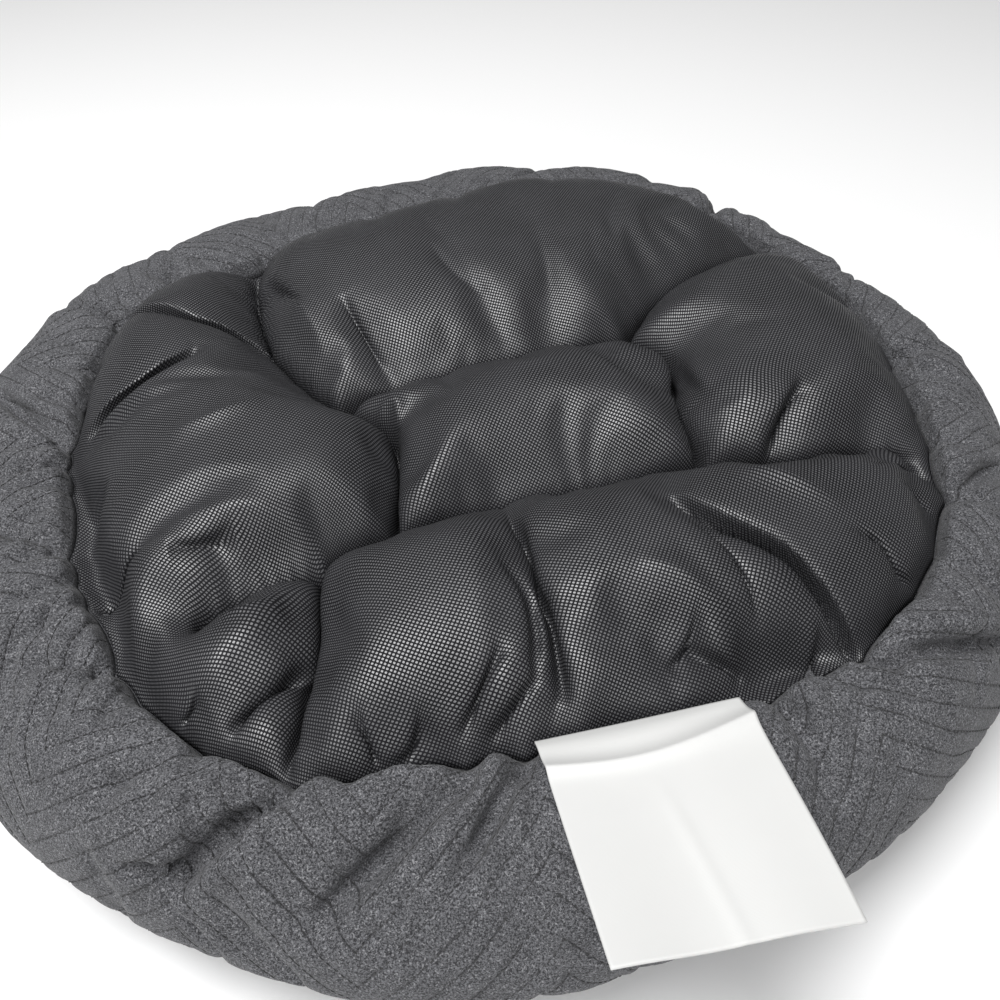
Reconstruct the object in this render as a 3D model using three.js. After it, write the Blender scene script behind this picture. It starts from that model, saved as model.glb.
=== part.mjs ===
// A round pet bed lying with its base up: a black base cushion, a grey quilted rim
// and a blank white care label. Millimetres, +Z up. While the surfaces are worked out
// the floor is z = 0 and the z axis runs through the middle of the rim.
import * as THREE from 'three';

// Driving dimensions
const baseSeamHeight = 104;      // seam between the base cushion and the rim
const lowerSeamHeight = 37;      // seam between the quilted panel and the inner panel
const sleepingFaceRadius = 186;  // edge of the sleeping face inside the rim
const sleepingFaceHeight = 66;
const sleepingFaceSag = 5;       // the filled face hangs lower in the middle
const clothGap = 0.5;            // clearance between neighbouring pieces
const labelWidth = 81;
const labelThickness = 1.2;

// Fineness of the surfaces
const columns = 240;             // around the rim, 20 to a chevron
const panelRows = 15;            // from the base seam to the lower seam
const chevronColumns = 20;
const chevronTipAngle = 231;     // one chevron's outward tip, in degrees
const quiltDepth = 1.8;
const sectionSteps = 6;          // spline steps between two rows of a section table
const sleepingRings = [1, 0.7, 0.36];  // rings of the sleeping face, as shares of its radius

// Plan of the rim: seam and outer radius every 15 degrees from +X
const stationAngle = 15;
const planStations = [
  { seam: 230, outer: 282 }, { seam: 232, outer: 274 }, { seam: 229, outer: 268 },
  { seam: 230, outer: 273 }, { seam: 231, outer: 284 }, { seam: 218, outer: 281 },
  { seam: 199, outer: 279 }, { seam: 192, outer: 274 }, { seam: 186, outer: 272 },
  { seam: 190, outer: 281 }, { seam: 212, outer: 290 }, { seam: 214, outer: 289 },
  { seam: 207, outer: 288 }, { seam: 205, outer: 287 }, { seam: 210, outer: 286 },
  { seam: 218, outer: 287 }, { seam: 231, outer: 284 }, { seam: 228, outer: 282 },
  { seam: 213, outer: 284 }, { seam: 214, outer: 280 }, { seam: 223, outer: 282 },
  { seam: 237, outer: 286 }, { seam: 242, outer: 288 }, { seam: 236, outer: 286 },
];

// Section of the quilted panel: share of the way from seam to outer radius, and height
const quiltedSection = [
  { share: 0.00, height: baseSeamHeight }, { share: 0.05, height: 107.5 },
  { share: 0.14, height: 110.5 }, { share: 0.28, height: 112 }, { share: 0.42, height: 110.5 },
  { share: 0.56, height: 106 }, { share: 0.70, height: 98.5 }, { share: 0.82, height: 89 },
  { share: 0.92, height: 78 }, { share: 0.98, height: 67 }, { share: 1.00, height: 57 },
  { share: 0.985, height: 47 }, { share: 0.94, height: lowerSeamHeight },
];

// Section of the plain inner panel, from under the lower seam to the sleeping face
const innerSection = [
  { radius: 275, height: 26 }, { radius: 269, height: 14 }, { radius: 261, height: 5 },
  { radius: 252, height: 0 }, { radius: 226, height: 0 }, { radius: 212, height: 4 },
  { radius: 202, height: 14 }, { radius: 195, height: 30 }, { radius: 190, height: 48 },
  { radius: sleepingFaceRadius, height: sleepingFaceHeight },
];

// Wrinkles of the rim: ends as angle and share of the panel from base seam to lower seam
const rimWrinkles = [
  { angle: 253, share: 0.02, toAngle: 246, toShare: 0.50, width: 8, depth: 8 },
  { angle: 247, share: 0.47, toAngle: 241, toShare: 0.54, width: 6, depth: 4 },
  { angle: 269, share: 0.05, toAngle: 258, toShare: 0.50, width: 13, depth: 8 },
  { angle: 187, share: 0.00, toAngle: 176, toShare: 0.38, width: 7, depth: 5 },
  { angle: 191, share: 0.02, toAngle: 193, toShare: 0.28, width: 7, depth: 3 },
  { angle: 312, share: 0.05, toAngle: 325, toShare: 0.52, width: 9, depth: 7 },
  { angle: 301, share: 0.00, toAngle: 300, toShare: 0.35, width: 8, depth: 4 },
  { angle: 338, share: 0.05, toAngle: 345, toShare: 0.34, width: 8, depth: 4 },
  { angle: 159, share: 0.00, toAngle: 157, toShare: 0.35, width: 8, depth: 4 },
  { angle: 147, share: 0.00, toAngle: 144, toShare: 0.22, width: 8, depth: 4 },
  { angle: 47, share: 0.05, toAngle: 49, toShare: 0.60, width: 16, depth: 6 },
  { angle: 3, share: 0.00, toAngle: 357, toShare: 0.20, width: 8, depth: 3 },
];

// Base cushion
const crownHeight = 33;          // of a full cell above the base seam
const channelSink = 8;           // of a sewn channel below the base seam
const shoulderWidth = 58;        // from the seam in to the full crown
const cellShoulder = 46;         // from a channel out to the full crown
const crownFall = 0.16;          // share of the crown lost from middle to edge
const bubbleHeight = 4;          // slow unevenness of the filling
const bubbleLengthX = 195;
const bubbleLengthY = 170;

// Sewn channels, plan points on the cushion
const channels = [
  { name: 'upper left', path: [[-132, 132], [-124, 84], [-104, 28], [-68, -16], [-37, -40]] },
  { name: 'pillow left', path: [[-37, -40], [-34, -72], [-35, -107]] },
  { name: 'pillow top', path: [[-68, -16], [-38, -7], [19, 10], [86, 29]] },
  { name: 'pillow right', path: [[86, 29], [107, 10], [105, -28], [113, -71]] },
  { name: 'pillow bottom', path: [[-35, -107], [15, -91], [48, -84], [113, -71]] },
  { name: 'upper right', path: [[86, 29], [112, 68], [150, 97], [192, 127]] },
  { name: 'right', path: [[113, -71], [159, -69], [203, -61], [222, -76]] },
  { name: 'lower left', path: [[-35, -107], [-64, -125], [-64, -171], [-74, -221]] },
  { name: 'left branch', path: [[-64, -125], [-92, -137], [-116, -152]] },
];

// Folds pressed into the cells: shallower than the channels
const folds = [
  { path: [[-196, 80], [-152, 59], [-96, 10]], width: 10, depth: 14 },
  { path: [[-203, -10], [-179, 5], [-153, 19]], width: 9, depth: 12 },
  { path: [[-164, -139], [-143, -126], [-113, -108]], width: 11, depth: 12 },
  { path: [[15, -91], [22, -138], [31, -180], [29, -209]], width: 10, depth: 18 },
  { path: [[97, -74], [121, -116], [147, -145], [164, -173]], width: 11, depth: 18 },
  { path: [[-65, -174], [-88, -198], [-100, -211]], width: 9, depth: 11 },
  { path: [[183, -22], [158, -48], [135, -73]], width: 9, depth: 8 },
  { path: [[-90, 100], [-62, 42], [-36, -7]], width: 11, depth: 9 },
  { path: [[-24, 120], [-3, 76], [10, 45]], width: 9, depth: 7 },
  { path: [[41, 110], [48, 54], [40, 17]], width: 9, depth: 7 },
  { path: [[203, -80], [208, -101], [206, -124]], width: 8, depth: 7 },
  { path: [[12, -170], [-8, -212]], width: 9, depth: 7 },
];

// Rows of points laid on the cushion, finest first: what they follow, how far aside they
// run and how close together their points may stand
const pointRows = [
  { follows: 'channels', aside: 0, spacing: 7.5 }, { follows: 'seam', aside: 7, spacing: 7 },
  { follows: 'folds', aside: 0, spacing: 8 }, { follows: 'channels', aside: 7, spacing: 6.5 },
  { follows: 'seam', aside: 19, spacing: 9.5 }, { follows: 'folds', aside: 9, spacing: 8.5 },
  { follows: 'channels', aside: 19, spacing: 10 },
];
const edgeClearance = 5.5;       // between the seam's points and any other
const fillingSpacing = 14;       // of the points that fill what is left
const fillingClearance = 11.5;

// Label: its middle line away from the seam, with the slope that the rim gives it
const labelRoot = { x: 22, y: -213 };
const labelHeading = -80.2;      // direction of the label's length, in degrees
const labelLine = [
  { along: 0, height: 107.1 }, { along: 6, height: 111.9 }, { along: 14, height: 116 },
  { along: 26, height: 119 }, { along: 44, height: 124.5 }, { along: 66, height: 131.5 },
  { along: 94, height: 140.5 },
];
const labelDroop = 11;           // the far corner on the right hangs lower
const labelRipple = 0.8;
const labelColumns = 8;

const degrees = THREE.MathUtils.degToRad;

function splineValue(a, b, c, d, t) {
  const linear = c - a;
  const square = 2 * a - 5 * b + 4 * c - d;
  const cube = 3 * (b - c) + d - a;
  return b + 0.5 * t * (linear + t * (square + t * cube));
}

// Value of a station table at an angle, rounded smoothly all the way round
function aroundPlan(key, angle) {
  const count = planStations.length;
  const place = ((angle / stationAngle) % count + count) % count;
  const station = Math.floor(place);
  const value = (step) => planStations[(station + step + count) % count][key];
  return splineValue(value(-1), value(0), value(1), value(2), place - station);
}

// A smooth open curve through rows of numbers
function smoothRows(rows, steps) {
  const last = rows.length - 1;
  const row = (i) => (i < 0
    ? rows[0].map((v, k) => 2 * v - rows[1][k])
    : i > last ? rows[last].map((v, k) => 2 * v - rows[last - 1][k]) : rows[i]);
  const curve = [];
  for (let i = 0; i < last; i += 1) {
    for (let step = 0; step < steps; step += 1) {
      const t = step / steps;
      curve.push(rows[i].map((_, k) => splineValue(
        row(i - 1)[k], row(i)[k], row(i + 1)[k], row(i + 2)[k], t)));
    }
  }
  curve.push(rows[last]);
  return curve;
}

const smoothSection = smoothRows(
  quiltedSection.map(({ share, height }) => [share, height]), sectionSteps);

// Closed body from points and outward triangles
function closedBody(name, points, triangles, colour, roughness) {
  const geometry = new THREE.BufferGeometry();
  geometry.setAttribute('position', new THREE.Float32BufferAttribute(points.flat(), 3));
  geometry.setIndex(triangles.flat());
  geometry.computeVertexNormals();
  const material = new THREE.MeshStandardMaterial({ color: colour, roughness, metalness: 0 });
  const mesh = new THREE.Mesh(geometry, material);
  mesh.name = name;
  return mesh;
}

function polar(radius, angle, height) {
  const turn = degrees(angle);
  return [radius * Math.cos(turn), radius * Math.sin(turn), height];
}

function middle(a, b) {
  return a.map((value, k) => (value + b[k]) / 2);
}

// The two seams keep straight runs of two columns, so that the panels meet face to face
const columnAngle = 360 / columns;

function seamEdge(column) {
  if (column % 2) return middle(seamEdge(column - 1), seamEdge(column + 1));
  const angle = column * columnAngle;
  return polar(aroundPlan('seam', angle), angle, baseSeamHeight);
}

function lowerEdge(column) {
  if (column % 2) return middle(lowerEdge(column - 1), lowerEdge(column + 1));
  const angle = column * columnAngle;
  const seam = aroundPlan('seam', angle);
  const share = quiltedSection.at(-1).share;
  const radius = seam + share * (aroundPlan('outer', angle) - seam);
  return polar(radius, angle, lowerSeamHeight);
}

// How far a wrinkle presses in at one point of the panel
function wrinkleDepth(angle, share, radius, panelLength) {
  let depth = 0;
  for (const wrinkle of rimWrinkles) {
    const across = (wrinkle.toAngle - wrinkle.angle) * degrees(radius);
    const down = (wrinkle.toShare - wrinkle.share) * panelLength;
    const turn = ((angle - wrinkle.angle + 540) % 360) - 180;
    const x = turn * degrees(radius);
    const y = (share - wrinkle.share) * panelLength;
    const length = Math.hypot(across, down);
    const along = THREE.MathUtils.clamp((x * across + y * down) / length, 0, length);
    const off = Math.hypot(x - across * along / length, y - down * along / length);
    const fade = Math.sin(Math.PI * (0.15 + 0.7 * along / length));
    depth += wrinkle.depth * fade * Math.exp(-((off / wrinkle.width) ** 2));
  }
  return depth;
}

// One column of the quilted panel, from the base seam to the lower seam
function quiltedColumn(column) {
  const angle = column * columnAngle;
  const seam = aroundPlan('seam', angle);
  const width = aroundPlan('outer', angle) - seam;
  const line = smoothSection.map(([share, height]) => [seam + share * width, height]);
  const lengths = [0];
  for (let i = 1; i < line.length; i += 1) {
    const step = Math.hypot(line[i][0] - line[i - 1][0], line[i][1] - line[i - 1][1]);
    lengths.push(lengths[i - 1] + step);
  }
  const total = lengths.at(-1);
  const fromTip = Math.abs(((column - chevronTipAngle / columnAngle + 1.5 * columns)
    % chevronColumns) - chevronColumns / 2);
  const points = [seamEdge(column)];
  for (let row = 1; row < panelRows; row += 1) {
    const distance = total * row / panelRows;
    const next = lengths.findIndex((value) => value >= distance);
    const t = (distance - lengths[next - 1]) / (lengths[next] - lengths[next - 1]);
    const [r0, z0] = line[next - 1];
    const [r1, z1] = line[next];
    const run = Math.hypot(r1 - r0, z1 - z0);
    const stitched = (row + Math.round(fromTip)) % 2 === 1;
    const pressed = wrinkleDepth(angle, row / panelRows, seam + width / 2, total);
    const depth = pressed + (stitched ? quiltDepth : 0);
    const radius = r0 + t * (r1 - r0) + depth * (z1 - z0) / run;
    const height = z0 + t * (z1 - z0) - depth * (r1 - r0) / run;
    points.push(polar(radius, angle, height));
  }
  points.push(lowerEdge(column));
  return points;
}

// Quilted outer panel with its share of the filling
function makeRimOuter() {
  const points = [];
  for (let column = 0; column < columns; column += 1) points.push(...quiltedColumn(column));
  const at = (column, row) => (column % columns) * (panelRows + 1) + row;
  const triangles = [];
  for (let column = 0; column < columns; column += 1) {
    const chevronPlace = (column - Math.round(chevronTipAngle / columnAngle) + columns)
      % chevronColumns;
    const leavingTip = chevronPlace < chevronColumns / 2;
    for (let row = 0; row < panelRows; row += 1) {
      const a = at(column, row);
      const b = at(column + 1, row);
      const c = at(column + 1, row + 1);
      const d = at(column, row + 1);
      if (leavingTip) triangles.push([a, d, b], [b, d, c]);
      else triangles.push([a, c, b], [a, d, c]);
    }
  }
  // Hidden face, straight from seam to seam
  for (let column = 0; column < columns; column += 2) {
    const [s0, s1, s2] = [0, 1, 2].map((step) => at(column + step, 0));
    const [e0, e1, e2] = [0, 1, 2].map((step) => at(column + step, panelRows));
    triangles.push([s0, e2, e1], [s0, e1, e0], [s0, s1, e2], [s1, s2, e2]);
  }
  return closedBody('rim_outer', points, triangles, 0x67676a, 0.95);
}

// Plain inner panel: under the rim, flat where it stands, and up to the sleeping face
function makeRimInner() {
  const rows = [];
  for (let column = 0; column < columns; column += 2) {
    const angle = column * columnAngle;
    const [sx, sy, sz] = seamEdge(column);
    const [ex, ey, ez] = lowerEdge(column);
    const outer = aroundPlan('outer', angle) - aroundMean('outer');
    const points = [[sx, sy, sz - clothGap], [ex, ey, ez - clothGap]];
    innerSection.forEach(({ radius, height }) => {
      const followsOutside = THREE.MathUtils.smoothstep(radius, 226, 278);
      points.push(polar(radius + outer * followsOutside, angle, height));
    });
    rows.push(points);
  }
  return closedRing('rim_inner', rows, 0x5b5b5e, 0.95);
}

function aroundMean(key) {
  return planStations.reduce((sum, station) => sum + station[key], 0) / planStations.length;
}

// A ring from equal rows of points, each row one closed section
function closedRing(name, rows, colour, roughness) {
  const size = rows[0].length;
  const triangles = [];
  rows.forEach((_, i) => {
    const next = (i + 1) % rows.length;
    for (let k = 0; k < size; k += 1) {
      const a = i * size + k;
      const b = next * size + k;
      const c = next * size + (k + 1) % size;
      const d = i * size + (k + 1) % size;
      triangles.push([a, d, c], [a, c, b]);
    }
  });
  return closedBody(name, rows.flat(), triangles, colour, roughness);
}

// Distance from a plan point to a smooth path
function pathDistance(x, y, path) {
  let nearest = Infinity;
  for (let i = 1; i < path.length; i += 1) {
    const [x0, y0] = path[i - 1];
    const [dx, dy] = [path[i][0] - x0, path[i][1] - y0];
    const share = ((x - x0) * dx + (y - y0) * dy) / (dx * dx + dy * dy);
    const t = THREE.MathUtils.clamp(share, 0, 1);
    nearest = Math.min(nearest, Math.hypot(x - x0 - t * dx, y - y0 - t * dy));
  }
  return nearest;
}

const pathSteps = 5;
const channelPaths = channels.map(({ path }) => smoothRows(path, pathSteps));
const foldPaths = folds.map(({ path }) => smoothRows(path, pathSteps));

// A round shoulder from 0 at its foot to 1 at its full width
function shoulder(distance, width) {
  const left = 1 - THREE.MathUtils.clamp(distance / width, 0, 1);
  return Math.sqrt(1 - left * left);
}

// Height of the base cushion's upper face
function cushionHeight(x, y) {
  const radius = Math.hypot(x, y);
  const seam = aroundPlan('seam', THREE.MathUtils.radToDeg(Math.atan2(y, x)));
  const fromSeam = shoulder(seam - clothGap - radius, shoulderWidth);
  const nearest = Math.min(...channelPaths.map((path) => pathDistance(x, y, path)));
  const fromChannel = shoulder(nearest, cellShoulder);
  const crown = crownHeight * (1 - crownFall * (radius / seam) ** 2);
  const uneven = bubbleHeight * Math.sin(2 * Math.PI * x / bubbleLengthX + 0.6)
    * Math.sin(2 * Math.PI * y / bubbleLengthY + 0.9);
  let rise = (crown + uneven) * fromChannel - channelSink * (1 - fromChannel);
  folds.forEach((fold, i) => {
    const off = pathDistance(x, y, foldPaths[i]);
    rise -= fold.depth * Math.exp(-((off / fold.width) ** 2)) * fromChannel;
  });
  return baseSeamHeight + fromSeam * rise;
}

// Plan points of the cushion's upper face: seam, then the rows of points, then filling
function cushionPlan() {
  const edge = [];
  for (let column = 0; column < columns; column += 2) {
    const [x, y] = seamEdge(column);
    edge.push(movedIn(x, y, clothGap));
  }
  const points = [...edge];
  const add = (x, y, clearance) => {
    const angle = THREE.MathUtils.radToDeg(Math.atan2(y, x));
    const inside = aroundPlan('seam', angle) - Math.hypot(x, y);
    const crowded = points.some(([px, py]) => Math.hypot(px - x, py - y) < clearance);
    if (inside > edgeClearance && !crowded) points.push([x, y]);
  };
  const followPath = (path, aside, spacing) => {
    for (let i = 1; i < path.length; i += 1) {
      const [x0, y0] = path[i - 1];
      const [dx, dy] = [path[i][0] - x0, path[i][1] - y0];
      const run = Math.hypot(dx, dy);
      for (let step = 0; step < run; step += 1) {
        const t = step / run;
        add(x0 + t * dx - aside * dy / run, y0 + t * dy + aside * dx / run, spacing);
      }
    }
  };
  const paths = { channels: channelPaths, folds: foldPaths };
  pointRows.forEach(({ follows, aside, spacing }) => {
    if (follows === 'seam') {
      edge.forEach(([x, y]) => add(...movedIn(x, y, aside), spacing));
    } else {
      const sides = aside ? [-aside, aside] : [0];
      sides.forEach((side) => paths[follows].forEach((path) => followPath(path, side, spacing)));
    }
  });
  const rowSpacing = fillingSpacing * Math.sqrt(3) / 2;
  const reach = Math.ceil(Math.max(...planStations.map(({ seam }) => seam)) / rowSpacing);
  for (let row = -reach; row <= reach; row += 1) {
    for (let place = -reach; place <= reach; place += 1) {
      add((place + (row % 2) / 2) * fillingSpacing, row * rowSpacing, fillingClearance);
    }
  }
  return { points, edgeCount: edge.length };
}

function movedIn(x, y, distance) {
  const share = 1 - distance / Math.hypot(x, y);
  return [x * share, y * share];
}

// Triangles through plan points, none with another point inside its circle
function triangulate(points) {
  const far = 4000;
  const all = [...points, [-far, -far], [far, -far], [0, far]];
  const count = points.length;
  const circle = (a, b, c) => {
    const [ax, ay] = all[a];
    const [bx, by] = [all[b][0] - ax, all[b][1] - ay];
    const [cx, cy] = [all[c][0] - ax, all[c][1] - ay];
    const scale = 2 * (bx * cy - by * cx);
    const bb = bx * bx + by * by;
    const cc = cx * cx + cy * cy;
    const ux = (cy * bb - by * cc) / scale;
    const uy = (bx * cc - cx * bb) / scale;
    return { corners: [a, b, c], x: ax + ux, y: ay + uy, square: ux * ux + uy * uy };
  };
  let cells = [circle(count, count + 1, count + 2)];
  points.forEach(([x, y], index) => {
    const open = new Map();
    cells = cells.filter((cell) => {
      if ((x - cell.x) ** 2 + (y - cell.y) ** 2 >= cell.square) return true;
      const [a, b, c] = cell.corners;
      [[a, b], [b, c], [c, a]].forEach(([from, to]) => {
        const twin = `${to},${from}`;
        if (open.has(twin)) open.delete(twin);
        else open.set(`${from},${to}`, [from, to]);
      });
      return false;
    });
    open.forEach(([from, to]) => cells.push(circle(from, to, index)));
  });
  return cells.map((cell) => cell.corners).filter((corners) => Math.max(...corners) < count);
}

// Base cushion: black upper face with its channels, plain sleeping face below
function makeBaseCushion() {
  const { points: plan, edgeCount } = cushionPlan();
  const points = plan.map(([x, y], i) => [x, y, i < edgeCount
    ? baseSeamHeight : cushionHeight(x, y)]);
  // A triangle between seam points alone lies outside the cushion
  const triangles = triangulate(plan).filter((corners) => Math.max(...corners) >= edgeCount);
  // Sleeping face: rings of halving point counts, closed by a middle point
  let ring = [];
  sleepingRings.forEach((share, level) => {
    const step = 2 ** level;
    const radius = (sleepingFaceRadius - clothGap) * share;
    const height = sleepingFaceHeight - sleepingFaceSag * (1 - share * share);
    const next = [];
    for (let i = 0; i < edgeCount; i += step) {
      next.push(points.length);
      points.push(polar(radius, i * 2 * columnAngle, height));
    }
    if (level === 0) {
      next.forEach((low, i) => {
        const after = (i + 1) % edgeCount;
        triangles.push([i, low, after], [low, next[after], after]);
      });
    } else {
      next.forEach((inner, i) => {
        const after = next[(i + 1) % next.length];
        const [o0, o1, o2] = [0, 1, 2].map((k) => ring[(2 * i + k) % ring.length]);
        triangles.push([o0, inner, o1], [o1, inner, after], [o1, after, o2]);
      });
    }
    ring = next;
  });
  const centre = points.length;
  points.push([0, 0, sleepingFaceHeight - sleepingFaceSag]);
  ring.forEach((a, i) => triangles.push([a, centre, ring[(i + 1) % ring.length]]));
  return closedBody('base_cushion', points, triangles, 0x39393c, 0.6);
}

// Blank care label: a thin sheet from the base seam out over the rim
function makeLabel() {
  const line = smoothRows(labelLine.map(({ along, height }) => [along, height]), 2);
  const across = labelColumns;
  const heading = degrees(labelHeading);
  const [ux, uy] = [Math.cos(heading), Math.sin(heading)];
  const length = labelLine.at(-1).along;
  const layer = (offset) => line.map(([along, height]) => {
    const row = [];
    for (let k = 0; k <= across; k += 1) {
      const side = k / across;
      const droop = labelDroop * side * (along / length) ** 2;
      const ripple = labelRipple * Math.sin(side * 3 * Math.PI + 1) * (along / length);
      row.push([labelRoot.x + along * ux - side * labelWidth * uy,
        labelRoot.y + along * uy + side * labelWidth * ux,
        height - droop + ripple + offset]);
    }
    return row;
  });
  const [lower, upper] = [layer(0), layer(labelThickness)];
  const points = [...lower.flat(), ...upper.flat()];
  const size = across + 1;
  const top = lower.length * size;
  const triangles = [];
  for (let i = 0; i < lower.length - 1; i += 1) {
    for (let k = 0; k < across; k += 1) {
      const a = i * size + k;
      const [b, c, d] = [a + 1, a + size + 1, a + size];
      triangles.push([a, b, c], [a, c, d]);
      triangles.push([top + a, top + c, top + b], [top + a, top + d, top + c]);
    }
  }
  const border = [];
  for (let k = 0; k < across; k += 1) border.push(k);
  for (let i = 0; i < lower.length - 1; i += 1) border.push(i * size + across);
  for (let k = across; k > 0; k -= 1) border.push((lower.length - 1) * size + k);
  for (let i = lower.length - 1; i > 0; i -= 1) border.push(i * size);
  border.forEach((a, i) => {
    const b = border[(i + 1) % border.length];
    triangles.push([a, top + a, top + b], [a, top + b, b]);
  });
  return closedBody('care_label', points, triangles, 0xf4f5f2, 0.7);
}

// The group stands on z = 0 with the z axis through the middle of its box
const petBed = new THREE.Group();
petBed.add(makeBaseCushion(), makeRimOuter(), makeRimInner(), makeLabel());
const box = new THREE.Box3().setFromObject(petBed);
petBed.position.set(-(box.min.x + box.max.x) / 2, -(box.min.y + box.max.y) / 2, -box.min.z);

export default petBed;
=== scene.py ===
"""A round pet bed lying base up: black base cushion, quilted grey rim, blank care label.

The tables are in millimetres in the rim's own frame, with the floor at z = 0 and the
z axis through the middle of the rim. Finished meshes are in metres in the part's frame.
"""
import math
from functools import partialmethod

import bmesh
import bpy
import numpy as np
from bpy.props import FloatProperty, FloatVectorProperty, IntProperty, PointerProperty
from mathutils import Matrix, Vector


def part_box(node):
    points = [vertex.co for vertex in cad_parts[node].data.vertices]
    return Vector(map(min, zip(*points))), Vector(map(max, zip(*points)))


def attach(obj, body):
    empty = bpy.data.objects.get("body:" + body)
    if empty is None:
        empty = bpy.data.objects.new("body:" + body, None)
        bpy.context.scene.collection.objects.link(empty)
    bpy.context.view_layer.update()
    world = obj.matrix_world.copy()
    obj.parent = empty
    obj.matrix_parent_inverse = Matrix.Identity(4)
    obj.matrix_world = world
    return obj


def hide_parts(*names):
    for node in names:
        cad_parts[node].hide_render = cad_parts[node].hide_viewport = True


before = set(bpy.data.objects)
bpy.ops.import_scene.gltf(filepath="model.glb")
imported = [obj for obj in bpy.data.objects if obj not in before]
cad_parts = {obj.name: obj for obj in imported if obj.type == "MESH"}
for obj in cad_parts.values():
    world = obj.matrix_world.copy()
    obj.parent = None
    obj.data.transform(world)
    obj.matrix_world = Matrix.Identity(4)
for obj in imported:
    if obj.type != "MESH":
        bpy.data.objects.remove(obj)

bl_info = {
    "name": "Round pet bed",
    "version": (1, 0, 0),
    "blender": (4, 5, 0),
    "location": "View3D > Sidebar > Pet bed",
    "description": "Makes a round pet bed that lies with its base up",
    "category": "Object",
}

MM = 0.001
BASE_SEAM = 104.0  # height of the seam between base cushion and rim
LOWER_SEAM = 37.0  # height of the seam between quilted and plain panel
SLEEPING_RADIUS = 186.0
SLEEPING_HEIGHT = 66.0
SLEEPING_SAG = 5.0
SLEEPING_RINGS = 5  # steps from the base seam down to the sleeping face
CLOTH_GAP = 0.5  # clearance between neighbouring pieces
QUILTED_ROUND = 262.0  # mean radius of the quilted panel's cloth
PLAIN_ROUND = 235.0  # mean radius of the plain panel's cloth
PLAIN_LENGTH = 190.0  # from its lower seam to the sleeping face
CAD_COLUMN = 3.0  # degrees between the CAD seam's corners

# Plan of the rim: base seam radius and outer radius every 15 degrees from +X
STATION_ANGLE = 15.0
PLAN_STATIONS = {
    "seam": [230, 232, 229, 230, 231, 218, 199, 192, 186, 190, 212, 214,
             207, 205, 210, 218, 231, 228, 213, 214, 223, 237, 242, 236],
    "outer": [282, 274, 268, 273, 284, 281, 279, 274, 272, 281, 290, 289,
              288, 287, 286, 287, 284, 282, 284, 280, 282, 286, 288, 286],
}

# Section of the quilted panel: share of the way from seam to outer radius, and height
QUILTED_SECTION = [
    (0.00, BASE_SEAM), (0.05, 107.5), (0.14, 110.5), (0.28, 112), (0.42, 110.5),
    (0.56, 106), (0.70, 98.5), (0.82, 89), (0.92, 78), (0.98, 67), (1.00, 57),
    (0.985, 47), (0.94, LOWER_SEAM),
]

# Section of the plain panel: radius and height, from the lower seam to the sleeping face
INNER_SECTION = [
    (275, 26), (269, 14), (261, 5), (252, 0), (226, 0), (212, 4), (202, 14), (195, 30),
    (190, 48), (SLEEPING_RADIUS, SLEEPING_HEIGHT),
]

# Chevron quilting: 12 chevrons round the rim, seven or eight lines deep
CHEVRON_ANGLE = 30.0
CHEVRON_TIP = 231.0
PANEL_ROWS = 15  # half line spacings from base seam to lower seam
HALF_CHEVRON_ROWS = 10
LINE_SLANT = 0.67  # distance across the slanting lines for one down the panel

# Wrinkles of the rim: angle and share of the panel at both ends, width and depth
RIM_WRINKLES = [
    (253, 0.00, 246, 0.50, 7, 12), (247, 0.47, 242, 0.53, 4, 4), (269, 0.05, 258, 0.50, 8, 10),
    (187, 0.00, 176, 0.38, 6, 8), (191, 0.02, 193, 0.28, 6, 4), (312, 0.05, 325, 0.52, 8, 8),
    (301, 0.00, 300, 0.35, 7, 5), (338, 0.05, 345, 0.34, 7, 5), (159, 0.00, 157, 0.35, 7, 5),
    (147, 0.00, 144, 0.22, 7, 5), (47, 0.05, 49, 0.60, 12, 6), (3, 0.00, 357, 0.20, 7, 4),
    (275, 0.02, 268, 0.42, 5, 5), (228, 0.02, 221, 0.30, 6, 4), (208, 0.00, 200, 0.32, 7, 4),
]

# Small creases of the rim, pressed sharp into the cloth
RIM_CREASES = [
    (182, 0.00, 173, 0.29, 3, 2), (346, 0.02, 349, 0.16, 3, 2), (215, 0.00, 214, 0.20, 3, 2),
    (312, 0.00, 306, 0.20, 3, 2), (336, 0.04, 338, 0.15, 3, 2), (259, 0.50, 266, 0.62, 3, 2),
    (231, 0.00, 234, 0.16, 3, 2), (221, 0.02, 228, 0.26, 3, 2), (199, 0.00, 203, 0.22, 3, 2),
    (283, 0.02, 280, 0.24, 3, 2), (291, 0.00, 295, 0.18, 3, 2), (325, 0.02, 331, 0.28, 3, 2),
    (20, 0.00, 16, 0.25, 3, 2), (33, 0.02, 38, 0.30, 3, 2), (64, 0.00, 60, 0.28, 3, 2),
    (81, 0.02, 84, 0.30, 3, 2), (97, 0.00, 93, 0.24, 3, 2), (112, 0.02, 117, 0.32, 3, 2),
    (130, 0.00, 127, 0.26, 3, 2), (168, 0.02, 166, 0.24, 3, 2),
]

# Sewn channels of the base cushion, in plan
CHANNELS = {
    "upper left": [(-132, 132), (-124, 84), (-104, 28), (-68, -16), (-37, -40)],
    "pillow left": [(-37, -40), (-34, -72), (-35, -107)],
    "pillow top": [(-68, -16), (-38, -7), (19, 10), (86, 29)],
    "pillow right": [(86, 29), (107, 10), (105, -28), (113, -71)],
    "pillow bottom": [(-35, -107), (15, -91), (48, -84), (113, -71)],
    "upper right": [(86, 29), (112, 68), (150, 97), (192, 127)],
    "right": [(113, -71), (159, -69), (203, -61), (222, -76)],
    "lower left": [(-35, -107), (-64, -125), (-64, -171), (-74, -221)],
    "left branch": [(-64, -125), (-92, -137), (-116, -152)],
}

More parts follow.
